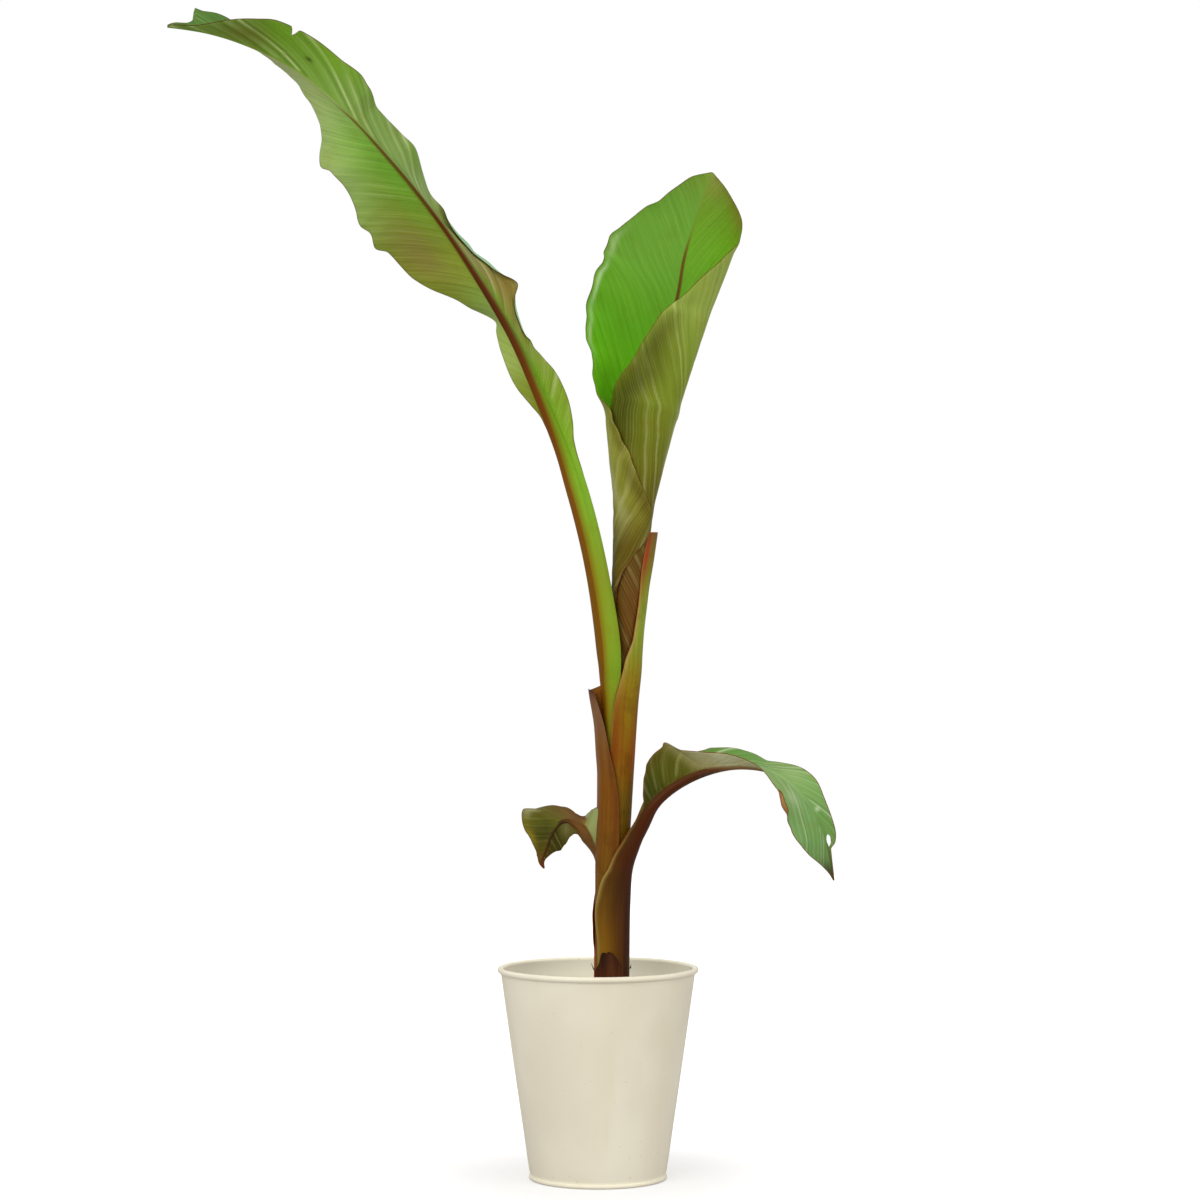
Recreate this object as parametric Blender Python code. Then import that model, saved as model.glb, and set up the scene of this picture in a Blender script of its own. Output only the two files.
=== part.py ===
"""A young banana plant in a tapered metal pot.

The stem of a banana plant is a roll of leaf sheaths. Here each sheath is a curved shell round the
core, and the leaves that live grow out of theirs: a tall leaf that leans to the left, a young leaf
still rolled up in the middle, an arching leaf on the right and a small hanging leaf on the left.
Two sheaths end in cut stubs.

Frame: metres, +Z up, origin at the middle of the pot's flat underside, +X to the right of the
plant's front, which faces -Y. The tables of the leaves and sheaths are in millimetres and degrees.
"""

import math

import bmesh
import bpy
import numpy as np
from mathutils import Vector

MM = 0.001
GAP = 0.0003  # clear space between pieces that touch on the real plant

# The pot: thin metal with a rolled bead at the rim and a small one at the foot.
POT_FOOT_RADIUS = 0.0715
POT_MOUTH_RADIUS = 0.1020
POT_FOOT_BEAD = 0.0022
POT_RIM_BEAD = 0.0030
POT_RIM_CENTRE = (0.1025, 0.2190)  # radius and height of the rim bead's centre
POT_WALL = 0.0012
POT_SEGMENTS = 44

# The potting soil fills the pot to below its rim and is a little heaped at the stem.
SOIL_TOP = 0.1900
SOIL_EDGE_TOP = 0.1860
SOIL_FLAT_RADIUS = 0.035

# The core of the stem: height, x and y of the middle, radius.
CORE = [
    (190.0 + GAP / MM, 15.2, 0.0, 9.8),
    (250.0, 15.6, 0.0, 10.3),
    (323.0, 16.8, 0.0, 11.8),
    (397.0, 19.0, 0.0, 13.8),
    (455.0, 21.6, 0.0, 14.3),
]

# Each sheath is an upright shell: thickness, then rows of the height, x and y of the middle, outer
# radius, and the two angles between which it wraps (0 at +X, counterclockwise seen from above).
CENTRE_SHEATH = (2.4, [
    (190.3, 15.2, 0.0, 13.0, -160, 160),
    (250, 15.6, 0.0, 13.5, -158, 158),
    (323, 16.8, 0.0, 15.0, -152, 152),
    (397, 19.0, 0.0, 16.9, -140, 140),
    (450, 21.5, 0.0, 17.6, -118, 118),
    (500, 24.7, -0.3, 17.8, -112, 112),
    (540, 29.7, 2.5, 16.6, -97, 99),
    (569, 30.3, 2.0, 17.8, -67, 67),
    (611, 32.5, 1.5, 20.4, -58, 58),
    (636, 35.7, 1.0, 21.0, -62, 62),
    (678, 49.0, 0.5, 14.0, -71, 71),
])
LEFT_STUB_SHEATH = (2.0, [
    (190.3, 15.2, 0.0, 15.8, 60, 300),
    (250, 15.4, 0.0, 16.2, 62, 300),
    (323, 15.4, 0.0, 17.9, 70, 290),
    (358, 17.0, 0.0, 19.0, 72, 287),
    (397, 18.6, 0.0, 19.7, 78, 280),
    (422, 19.0, 0.0, 20.0, 88, 269),
    (444, 17.5, 0.0, 19.8, 104, 258),
    (474, 14.3, 0.0, 18.5, 106, 248),
    (507, 7.5, 0.0, 17.0, 104, 236),
    (515, 6.0, 0.0, 16.5, 102, 233),
])
RIGHT_LEAF_SHEATH = (2.0, [
    (190.3, 15.5, 0.0, 18.5, -150, 120),
    (241, 15.3, 0.0, 18.9, -152, 120),
    (278, 15.3, 0.0, 19.7, -163, 106),
    (298, 15.8, 0.0, 20.3, -143, 82),
    (315, 16.2, -0.2, 20.7, -125, 70),
    (328, 17.0, -1.0, 20.8, -106, 60),
    (344, 21.5, -4.0, 18.5, -100, 32),
    (355, 31.0, -13.5, 13.5, -130, 25),
    (365, 40.5, -20.0, 9.5, -150, 20),
])
SMALL_LEAF_SHEATH = (1.6, [
    (190.3, 14.8, 0.0, 20.8, 75, 205),
    (240, 14.6, 0.0, 21.1, 80, 215),
    (262, 14.2, 0.0, 21.7, 85, 213),
    (282, 14.9, 0.0, 21.9, 92, 192),
    (300, 15.6, 0.5, 21.0, 95, 180),
    (323, 13.5, 3.0, 17.9, 95, 175),
    (341, 4.5, 15.0, 8.3, 90, 215),
    (352, -8.0, 8.5, 7.3, 112, 295),
])
BASE_SCALE = (1.4, [
    (190.3, 15.5, -0.8, 20.2, 213, 325),
    (211, 15.5, -0.8, 20.3, 213, 325),
    (225, 15.5, -0.8, 20.3, 218, 306),
    (237, 15.5, -0.8, 20.3, 228, 270),
])
TALL_LEAF_STALK = (5.0, [
    (455.3, 17.5, -2.0, 11.0, 150, 255),
    (500, 16.8, -2.0, 11.5, 150, 268),
    (520, 14.9, -5.2, 12.9, 150, 295),
    (540, 13.5, -9.4, 14.0, 150, 326),
    (560, 11.5, -10.5, 14.2, 150, 334),
    (591, 7.9, -10.5, 14.2, 148, 334),
    (625, 2.0, -13.0, 13.0, 146, 334),
    (703, -15.5, -17.0, 12.3, 146, 336),
    (745, -28.5, -19.5, 11.2, 146, 336),
])

# Each leaf: the points of its midrib, from the foot of the blade to the tip, and, as pairs of a
# place along the midrib (0 to 1) and a value, how far the upper face is turned about the midrib
# from +Y, the rib's half width and depth, and for each half its width and the angles by which it
# stands up from the flat at the rib (fold) and at the edge (rim). Left and right are as seen on
# the upper face with the tip ahead.
TALL_LEAF = {
    "thickness": 4.5,
    "midrib": [
        (-33, -23, 749), (-62, -29, 822), (-93, -34, 889), (-127, -38, 944), (-173, -44, 1010),
        (-216, -50, 1063), (-262, -57, 1112), (-304, -64, 1147), (-356, -73, 1173),
        (-401, -82, 1187), (-425, -86, 1191), (-441, -89, 1193),
    ],
    "turn": [(0, 37), (0.12, 5), (0.29, -8), (0.46, -18), (0.57, -8), (0.68, 20), (0.79, 55),
             (0.9, 78), (1, 85)],
    "rib": [(0, 9.5), (0.2, 6.5), (0.5, 3.2), (1, 1.2)],
    "depth": [(0, 9.0), (0.2, 7.5), (0.5, 5.5), (1, 4.5)],
    "right": {
        "width": [(0, 11), (0.05, 10), (0.12, 22), (0.18, 27), (0.26, 30), (0.33, 46), (0.42, 62),
                  (0.5, 66), (0.62, 60), (0.73, 45), (0.81, 38), (0.93, 33), (0.955, 32),
                  (0.965, 12), (1, 3)],
        "fold": [(0, 10), (0.05, 38), (0.17, 50), (0.26, 86), (0.3, 62), (0.38, 35), (0.52, 23),
                 (0.57, 33), (0.62, 20), (0.73, 30), (0.85, 26), (0.93, 66), (1, 60)],
        "rim": [(0, 10), (0.05, 38), (0.17, 50), (0.26, 86), (0.3, 62), (0.38, 35), (0.52, 23),
                (0.57, 33), (0.62, 20), (0.73, 30), (0.85, 26), (0.93, 66), (1, 60)],
    },
    "left": {
        "width": [(0, 10.5), (0.05, 23), (0.12, 29), (0.23, 33), (0.28, 44), (0.37, 54), (0.5, 60),
                  (0.62, 47), (0.68, 40), (0.79, 39), (0.86, 37), (0.9, 31), (0.95, 14), (1, 3)],
        "fold": [(0, 50), (0.05, 44), (0.12, 38), (0.21, 61), (0.28, 44), (0.36, 64), (0.46, 66),
                 (0.62, 62), (0.68, 40), (0.79, 38), (0.9, 33), (1, 24)],
        "rim": [(0, 50), (0.05, 44), (0.12, 38), (0.21, 61), (0.28, 40), (0.36, 54), (0.46, 58),
                (0.62, 56), (0.68, 38), (0.79, 36), (0.9, 33), (1, 24)],
    },
}
ROLLED_LEAF = {
    "thickness": 6.0,
    "midrib": [
        (25, 5.5, 457), (26.3, 7.8, 502), (29.5, 10, 554), (31.6, 12.5, 607), (34.3, 14, 670),
        (36, 15.5, 702), (41, 25.5, 766), (44.5, 31, 798), (52, 32, 830), (73, 33, 894),
        (84, 33.5, 924), (91, 39, 976), (102, 44, 1004), (112, 47, 1033), (121.5, 49, 1059),
    ],
    "turn": [(0, 180), (1, 180)],
    "rib": [(0, 2), (1, 1.5)],
    "depth": [(0, 6), (1, 6)],
    "left": {
        "width": [(0, 3.5), (0.076, 9), (0.16, 12), (0.25, 18), (0.35, 24), (0.4, 29), (0.45, 39),
                  (0.5, 49), (0.56, 58), (0.61, 75), (0.66, 87), (0.72, 96), (0.77, 100),
                  (0.815, 91), (0.853, 74), (0.9, 56), (0.95, 31), (1, 4)],
        "fold": [(0, 0), (1, 0)],
        "rim": [(0, 95), (0.45, 105), (0.56, 88), (0.61, 65), (0.66, 53), (0.77, 45), (0.9, 30),
                (1, 25)],
    },
    "right": {
        "width": [(0, 9), (0.076, 23), (0.16, 31), (0.25, 46), (0.35, 59), (0.4, 68), (0.45, 90),
                  (0.5, 116), (0.56, 140), (0.66, 129), (0.72, 119), (0.77, 104), (0.815, 101),
                  (0.853, 82), (0.9, 64), (0.95, 36), (1, 4)],
        "fold": [(0, 0), (1, 0)],
        "rim": [(0, 240), (0.5, 240), (0.56, 248), (0.66, 228), (0.72, 205), (0.77, 180),
                (0.815, 145), (0.853, 102), (0.9, 76), (1, 45)],
    },
}
ARCHING_LEAF = {
    "thickness": 3.5,
    "midrib": [
        (41, -23.5, 373), (56, -26.5, 393), (71.5, -28.5, 408.5), (88.5, -30, 420), (114, -32, 431),
        (148, -34, 436), (175, -37, 431.5), (199, -41, 417), (221, -44, 391), (235, -46, 364),
        (239, -46, 347), (244.5, -46, 316),
    ],
    "turn": [(0, -90), (0.4, -90), (0.5, -100), (0.55, -120), (0.6, -135), (0.66, -150),
             (0.77, -164), (1, -165)],
    "rib": [(0, 6.5), (0.25, 3.5), (1, 1)],
    "depth": [(0, 8), (0.25, 5.5), (0.6, 4), (1, 3.5)],
    "left": {
        "width": [(0, 9), (0.06, 16), (0.13, 34), (0.2, 46), (0.4, 44), (0.5, 38), (0.6, 31),
                  (0.66, 28), (0.72, 20), (0.82, 14), (0.86, 10), (0.9, 3), (1, 1.5)],
        "fold": [(0, 60), (0.19, 62), (0.24, 47), (0.34, 31), (0.45, 16), (0.55, -5), (0.6, 2),
                 (0.7, 15), (1, 20)],
        "rim": [(0, 60), (0.19, 62), (0.24, 47), (0.34, 31), (0.45, 16), (0.55, -5), (0.6, 2),
                (0.7, 15), (1, 20)],
    },
    "right": {
        "width": [(0, 8), (0.05, 9), (0.1, 24), (0.17, 33), (0.23, 40), (0.31, 45), (0.4, 43),
                  (0.5, 38), (0.66, 31), (0.77, 36), (0.83, 32), (0.89, 19), (0.95, 6), (1, 1.5)],
        "fold": [(0, 75), (0.23, 74), (0.3, 66), (0.36, 42), (0.42, 20), (0.5, 5), (0.6, 18),
                 (1, 18)],
        "rim": [(0, 75), (0.23, 74), (0.3, 66), (0.36, 42), (0.42, 20), (0.5, 5), (0.6, 18),
                (1, 18)],
        "sweep": [(0, 20), (0.17, 8), (0.3, -22), (0.42, -28), (0.6, 0), (1, 0)],
    },
}
SMALL_LEAF = {
    "thickness": 2.0,
    "midrib": [
        (-12, 4, 359.5), (-24, 0, 373.5), (-32.5, -3, 377.5), (-40, -6, 375), (-48, -9, 363),
        (-54.4, -11, 346), (-58.6, -12, 332), (-56.5, -12, 326),
    ],
    "turn": [(0, 15), (1, 15)],
    "rib": [(0, 5.5), (0.4, 3), (1, 1)],
    "depth": [(0, 5), (0.4, 3.5), (1, 2)],
    "right": {
        "width": [(0, 6.5), (0.15, 13), (0.27, 20), (0.36, 21), (0.45, 21), (0.53, 19), (0.64, 13),
                  (0.75, 8), (1, 1.5)],
        "fold": [(0, 0), (0.3, 10), (1, 15)],
        "rim": [(0, 0), (0.3, 10), (1, 15)],
        "sweep": [(0, -20), (0.15, -35), (0.27, -12), (0.36, 18), (0.45, 34), (0.55, 42), (0.8, 42),
                  (1, 10)],
    },
    "left": {
        "width": [(0, 22), (0.1, 28), (0.3, 26), (0.39, 31), (0.48, 40), (0.56, 30), (0.66, 20),
                  (0.78, 11), (0.88, 5), (1, 1.5)],
        "fold": [(0, 60), (0.1, 72), (0.17, 83), (0.3, 80), (0.39, 58), (0.48, 30), (0.56, 20),
                 (1, 20)],
        "rim": [(0, 60), (0.1, 72), (0.17, 83), (0.3, 80), (0.39, 58), (0.48, 30), (0.56, 20),
                (1, 20)],
        "sweep": [(0, 0), (0.3, 0), (0.42, 16), (0.56, 14), (1, 0)],
    },
}


def material(name, colour, roughness, metallic=0.0):
    """A plain Principled material."""
    made = bpy.data.materials.new(name)
    made.use_nodes = True
    shader = made.node_tree.nodes["Principled BSDF"]
    shader.inputs["Base Color"].default_value = (*colour, 1.0)
    shader.inputs["Roughness"].default_value = roughness
    shader.inputs["Metallic"].default_value = metallic
    return made


def curve(knots, at):
    """Read (place, value) knots at the places `at`, on a smooth curve that never overshoots."""
    x, y = np.array(knots, float).T
    step = np.diff(x)
    rise = np.diff(y) / step
    slope = np.zeros_like(y)
    slope[0], slope[-1] = rise[0], rise[-1]
    product = rise[:-1] * rise[1:]
    total = np.where(product > 0, rise[:-1] + rise[1:], 1.0)
    slope[1:-1] = np.where(product > 0, 2 * product / total, 0.0)
    k = np.clip(np.searchsorted(x, at, side="right") - 1, 0, len(x) - 2)
    t = (at - x[k]) / step[k]
    start = (1 + 2 * t) * (1 - t) ** 2 * y[k] + t * (1 - t) ** 2 * step[k] * slope[k]
    end = t**2 * (3 - 2 * t) * y[k + 1] + t**2 * (t - 1) * step[k] * slope[k + 1]
    return start + end


def path(points, at):
    """Points at the places `at` (0 to 1 of the length) on a smooth curve through `points`."""
    points = np.array(points, float)
    lengths = np.linalg.norm(np.diff(points, axis=0), axis=1)
    place = np.concatenate([[0.0], np.cumsum(lengths)]) / lengths.sum()
    slope = np.gradient(points, place, axis=0)
    k = np.clip(np.searchsorted(place, at, side="right") - 1, 0, len(place) - 2)
    step = (place[k + 1] - place[k])[:, None]
    t = (at - place[k])[:, None] / step
    start = (1 + 2 * t) * (1 - t) ** 2 * points[k] + t * (1 - t) ** 2 * step * slope[k]
    end = t**2 * (3 - 2 * t) * points[k + 1] + t**2 * (t - 1) * step * slope[k + 1]
    return start + end


def unit(vectors):
    """The vectors at length one."""
    return vectors / np.linalg.norm(vectors, axis=-1, keepdims=True)


def leaf_frame(leaf, at):
    """Midrib points and forward, upward and left-hand directions of a leaf at the places `at`."""
    rib = path(leaf["midrib"], at)
    nearby = 0.002
    ahead = path(leaf["midrib"], np.minimum(at + nearby, 1.0))
    behind = path(leaf["midrib"], np.maximum(at - nearby, 0.0))
    forward = unit(ahead - behind)
    turn = np.radians(curve(leaf["turn"], at))[:, None]
    back = np.array([0.0, 1.0, 0.0])
    flat = unit(back - forward * (forward @ back)[:, None])
    normal = np.cos(turn) * flat + np.sin(turn) * np.cross(flat, forward)
    return rib, forward, normal, np.cross(normal, forward)


def half_section(half, rib, at, columns):
    """One half of a blade, for each place and column.

    Gives the distances out from the rib and up off the flat, and the same for the unit vector that
    points straight out of the underside.
    """
    width = np.maximum(curve(half["width"], at), rib + 0.6)[:, None]
    rib = rib[:, None]
    run = (rib + (width - rib) * np.linspace(0, 1, columns)) / width
    fold = np.radians(curve(half["fold"], at))[:, None]
    bend = np.radians(curve(half["rim"], at))[:, None] - fold + 1e-6
    slope = fold + bend * run
    out = width * (np.sin(slope) - np.sin(fold)) / bend
    up = width * (np.cos(fold) - np.cos(slope)) / bend
    return out, up, np.sin(slope), -np.cos(slope)


def sheet(name, front, back, paint):
    """A closed sheet between two grids of points (rows by columns, mm)."""
    rows, columns = front.shape[:2]
    mesh = bpy.data.meshes.new(name)
    grid = bmesh.new()
    bmesh.ops.create_grid(grid, x_segments=columns - 1, y_segments=rows - 1, size=1.0)
    under = grid.faces[:]
    behind = set(grid.verts)
    bmesh.ops.extrude_face_region(grid, geom=under, use_keep_orig=True)
    for vert in grid.verts:
        column = round((vert.co.x + 1) / 2 * (columns - 1))
        row = round((vert.co.y + 1) / 2 * (rows - 1))
        points = back if vert in behind else front
        vert.co = Vector(points[row, column]) * MM
    grid.to_mesh(mesh)
    grid.free()
    made = bpy.data.objects.new(name, mesh)
    bpy.context.collection.objects.link(made)
    mesh.materials.append(paint)
    mesh.shade_smooth()
    mesh.set_sharp_from_angle(angle=math.radians(40))
    return made


def blade(name, leaf, first, last, rows, columns, paint):
    """The stretch of a leaf's blade from place `first` to `last`, both halves and the midrib."""
    at = np.linspace(first, last, rows)
    middle, forward, normal, side = (part[:, None] for part in leaf_frame(leaf, at))
    rib = curve(leaf["rib"], at)
    depth = np.maximum(curve(leaf["depth"], at), leaf["thickness"])[:, None, None]
    front, back = [], []
    for hand, sign in (("left", 1.0), ("right", -1.0)):
        half = leaf[hand]
        sweep = np.radians(curve(half.get("sweep", [(0, 0), (1, 0)]), at))[:, None, None]
        across = sign * np.cos(sweep) * side + np.sin(sweep) * forward
        out, up, under_out, under_up = (
            part[..., None] for part in half_section(half, rib, at, columns))
        face = middle + out * across + up * normal
        deep = np.full((rows, columns, 1), leaf["thickness"])
        deep[:, :1] = depth
        front.append(face)
        back.append(face + deep * (under_out * across + under_up * normal))
    front = np.hstack([front[0][:, ::-1], middle, front[1]])
    back = np.hstack([back[0][:, ::-1], middle - depth * normal, back[1]])
    return sheet(name, front, back, paint)


def sheath(name, shape, rows, columns, paint):
    """A shell that wraps round the stem and stands upright."""
    thickness, table = shape
    table = np.array(table, float)
    heights = np.linspace(table[0, 0], table[-1, 0], rows)
    x, y, radius, start, end = (curve(table[:, [0, k]], heights)[:, None] for k in range(1, 6))
    angle = np.radians(start + (end - start) * np.linspace(0, 1, columns))
    tall = np.broadcast_to(heights[:, None], angle.shape)
    outer, inner = (
        np.stack([x + r * np.cos(angle), y + r * np.sin(angle), tall], axis=-1)
        for r in (radius, radius - thickness))
    return sheet(name, outer, inner, paint)


def turned(name, outline, paint):
    """A solid turned about Z from an (r, z) outline that starts and ends on the axis."""
    mesh = bpy.data.meshes.new(name)
    shape = bmesh.new()
    verts = [shape.verts.new((r, 0.0, z)) for r, z in outline]
    edges = [shape.edges.new(pair) for pair in zip(verts, verts[1:])]
    bmesh.ops.spin(shape, geom=verts + edges, cent=(0, 0, 0), axis=(0, 0, 1), steps=POT_SEGMENTS,
                   angle=math.tau, use_merge=True)
    bmesh.ops.remove_doubles(shape, verts=shape.verts, dist=1e-6)
    bmesh.ops.recalc_face_normals(shape, faces=shape.faces)
    shape.to_mesh(mesh)
    shape.free()
    made = bpy.data.objects.new(name, mesh)
    bpy.context.collection.objects.link(made)
    mesh.materials.append(paint)
    mesh.shade_smooth()
    mesh.set_sharp_from_angle(angle=math.radians(40))
    return made


def arc(centre, radius, start, end, steps):
    """Points on a circle of the (r, z) plane from angle `start` to `end`, in degrees."""
    angles = np.radians(np.linspace(start, end, steps + 1))
    return [(centre[0] + radius * math.cos(a), centre[1] + radius * math.sin(a)) for a in angles]


def pot(paint):
    """The pot: flat underside, foot bead, tapered wall and rolled rim, open at the top."""
    foot_bead = (POT_FOOT_RADIUS - POT_FOOT_BEAD / 2, POT_FOOT_BEAD)
    outline = [(0.0, 0.0)]
    outline += arc(foot_bead, POT_FOOT_BEAD, -90, 80, 4)
    outline += arc(POT_RIM_CENTRE, POT_RIM_BEAD, -100, 190, 9)
    outline += [(POT_MOUTH_RADIUS - POT_WALL, POT_RIM_CENTRE[1] - POT_RIM_BEAD)]
    outline += [(POT_FOOT_RADIUS - POT_WALL, POT_WALL), (0.0, POT_WALL)]
    return turned("pot", outline, paint)


def inner_radius(height):
    """Inner radius of the pot's wall at a height."""
    low, high = POT_WALL, POT_RIM_CENTRE[1] - POT_RIM_BEAD
    share = (height - low) / (high - low)
    return POT_FOOT_RADIUS - POT_WALL + share * (POT_MOUTH_RADIUS - POT_FOOT_RADIUS)


def soil(paint):
    """The soil in the pot, a hair clear of its floor and wall."""
    floor = POT_WALL + GAP
    clear = 1.5 * GAP
    outline = [(0.0, floor), (inner_radius(floor) - clear, floor)]
    outline += [(inner_radius(SOIL_EDGE_TOP) - clear, SOIL_EDGE_TOP)]
    outline += [(SOIL_FLAT_RADIUS, SOIL_TOP), (0.0, SOIL_TOP)]
    return turned("potting_soil", outline, paint)


def stem_core(paint):
    """The core of the stem: a tapering column from its flat foot to the fork of the leaves."""
    sides, rows = 16, 9
    table = np.array(CORE)
    heights = np.linspace(table[0, 0], table[-1, 0], rows)
    x, y, radius = (curve(table[:, [0, k]], heights) for k in range(1, 4))
    mesh = bpy.data.meshes.new("stem_core")
    shape = bmesh.new()
    rings = []
    for k in range(rows):
        ring = bmesh.ops.create_circle(shape, segments=sides, radius=radius[k] * MM)["verts"]
        middle = Vector((x[k], y[k], heights[k])) * MM
        bmesh.ops.translate(shape, verts=ring, vec=middle)
        rings.append(list({edge for vert in ring for edge in vert.link_edges}))
    for lower, upper in zip(rings, rings[1:]):
        bmesh.ops.bridge_loops(shape, edges=lower + upper)
    bmesh.ops.holes_fill(shape, edges=[e for e in shape.edges if e.is_boundary], sides=0)
    bmesh.ops.recalc_face_normals(shape, faces=shape.faces)
    shape.to_mesh(mesh)
    shape.free()
    made = bpy.data.objects.new("stem_core", mesh)
    bpy.context.collection.objects.link(made)
    mesh.materials.append(paint)
    mesh.shade_smooth()
    mesh.set_sharp_from_angle(angle=math.radians(40))
    return made


for old in list(bpy.data.objects):
    bpy.data.objects.remove(old)

cream_metal = material("cream_painted_metal", (0.71, 0.66, 0.55), 0.38)
dark_soil = material("soil", (0.035, 0.022, 0.014), 0.95)
stem_flesh = material("stem", (0.22, 0.15, 0.03), 0.55)
red_brown = material("red_brown_sheath", (0.12, 0.045, 0.015), 0.5)
mauve_brown = material("mauve_brown_sheath", (0.15, 0.065, 0.03), 0.5)
dead_brown = material("dead_scale", (0.05, 0.02, 0.009), 0.8)
stalk_green = material("stalk_green", (0.22, 0.30, 0.03), 0.42)
leaf_green = material("leaf_green", (0.16, 0.25, 0.04), 0.45)
young_green = material("young_leaf_green", (0.13, 0.29, 0.04), 0.42)
olive = material("old_leaf_olive", (0.14, 0.15, 0.035), 0.5)

# Where a leaf bends round a wide gap it is cut into an inner and an outer solid, a hair apart.
TALL_CUT = 0.5
ARCHING_CUT = 0.47
SMALL_CUT = 0.36
TALL_HAIR, ARCHING_HAIR, SMALL_HAIR = 0.0008, 0.0014, 0.004

pot(cream_metal)
soil(dark_soil)
stem_core(stem_flesh)
sheath("centre_sheath", CENTRE_SHEATH, 15, 22, stem_flesh)
sheath("left_stub_sheath", LEFT_STUB_SHEATH, 13, 16, mauve_brown)
sheath("arching_leaf_sheath", RIGHT_LEAF_SHEATH, 15, 17, red_brown)
sheath("small_leaf_sheath", SMALL_LEAF_SHEATH, 12, 11, red_brown)
sheath("base_scale", BASE_SCALE, 7, 11, dead_brown)
sheath("tall_leaf_stalk", TALL_LEAF_STALK, 12, 11, stalk_green)
blade("tall_leaf_lower", TALL_LEAF, 0, TALL_CUT - TALL_HAIR, 22, 4, leaf_green)
blade("tall_leaf_upper", TALL_LEAF, TALL_CUT + TALL_HAIR, 1, 26, 4, leaf_green)
blade("rolled_leaf", ROLLED_LEAF, 0, 1, 26, 8, young_green)
blade("arching_leaf_inner", ARCHING_LEAF, 0, ARCHING_CUT - ARCHING_HAIR, 14, 4, olive)
blade("arching_leaf_outer", ARCHING_LEAF, ARCHING_CUT + ARCHING_HAIR, 1, 16, 4, leaf_green)
blade("small_leaf_inner", SMALL_LEAF, 0, SMALL_CUT - SMALL_HAIR, 8, 3, olive)
blade("small_leaf_outer", SMALL_LEAF, SMALL_CUT + SMALL_HAIR, 1, 12, 3, olive)
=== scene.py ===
"""A young banana plant in a tapered metal pot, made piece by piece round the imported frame.

Metres, +Z up, origin in the middle of the pot's flat underside, the plant's front facing -Y. Sizes
of sheaths and leaves are in millimetres and degrees.
"""

import math

import bmesh
import bpy
import numpy as np
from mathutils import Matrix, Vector, noise


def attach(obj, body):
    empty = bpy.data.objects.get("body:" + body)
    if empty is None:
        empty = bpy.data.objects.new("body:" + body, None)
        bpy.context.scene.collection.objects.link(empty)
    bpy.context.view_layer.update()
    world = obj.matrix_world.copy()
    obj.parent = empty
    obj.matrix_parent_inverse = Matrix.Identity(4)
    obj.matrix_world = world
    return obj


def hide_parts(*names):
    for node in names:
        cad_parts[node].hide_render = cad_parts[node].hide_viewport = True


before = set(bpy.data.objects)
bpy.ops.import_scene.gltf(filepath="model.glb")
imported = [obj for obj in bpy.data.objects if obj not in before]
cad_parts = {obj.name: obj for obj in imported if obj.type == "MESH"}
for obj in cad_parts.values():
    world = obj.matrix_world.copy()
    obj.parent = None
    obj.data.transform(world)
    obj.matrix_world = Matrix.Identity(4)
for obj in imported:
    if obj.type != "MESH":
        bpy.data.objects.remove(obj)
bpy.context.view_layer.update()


# The pot: spun sheet steel, sprayed inside and out with satin cream paint. The rim is rolled over
# outwards into a round bead, and the floor is held in a smaller bead at the foot.

MM = 0.001
ROOT = "root"


def rgb(red, green, blue):
    """A colour as the eye sees it, 0 to 255, in the linear light that shaders work in."""
    seen = (red / 255, green / 255, blue / 255)
    return tuple(((c + 0.055) / 1.055) ** 2.4 if c > 0.04 else c / 12.92 for c in seen)


class Wiring:
    """A tree of shader nodes."""

    def __init__(self, tree):
        self.tree = tree

    def feed(self, socket, value):
        """Put a number or colour on a socket, or link another node's output to it."""
        if isinstance(value, bpy.types.NodeSocket):
            self.tree.links.new(value, socket)
        elif isinstance(value, tuple) and len(value) == 3 and socket.type == "RGBA":
            socket.default_value = (*value, 1.0)
        else:
            socket.default_value = value

    def node(self, kind, into=None, result=0, **settings):
        """Add a node and return one of its outputs."""
        made = self.tree.nodes.new("ShaderNode" + kind)
        for name, value in settings.items():
            setattr(made, name, value)
        for name, value in (into or {}).items():
            self.feed(made.inputs[name], value)
        return made.outputs[result]


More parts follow.
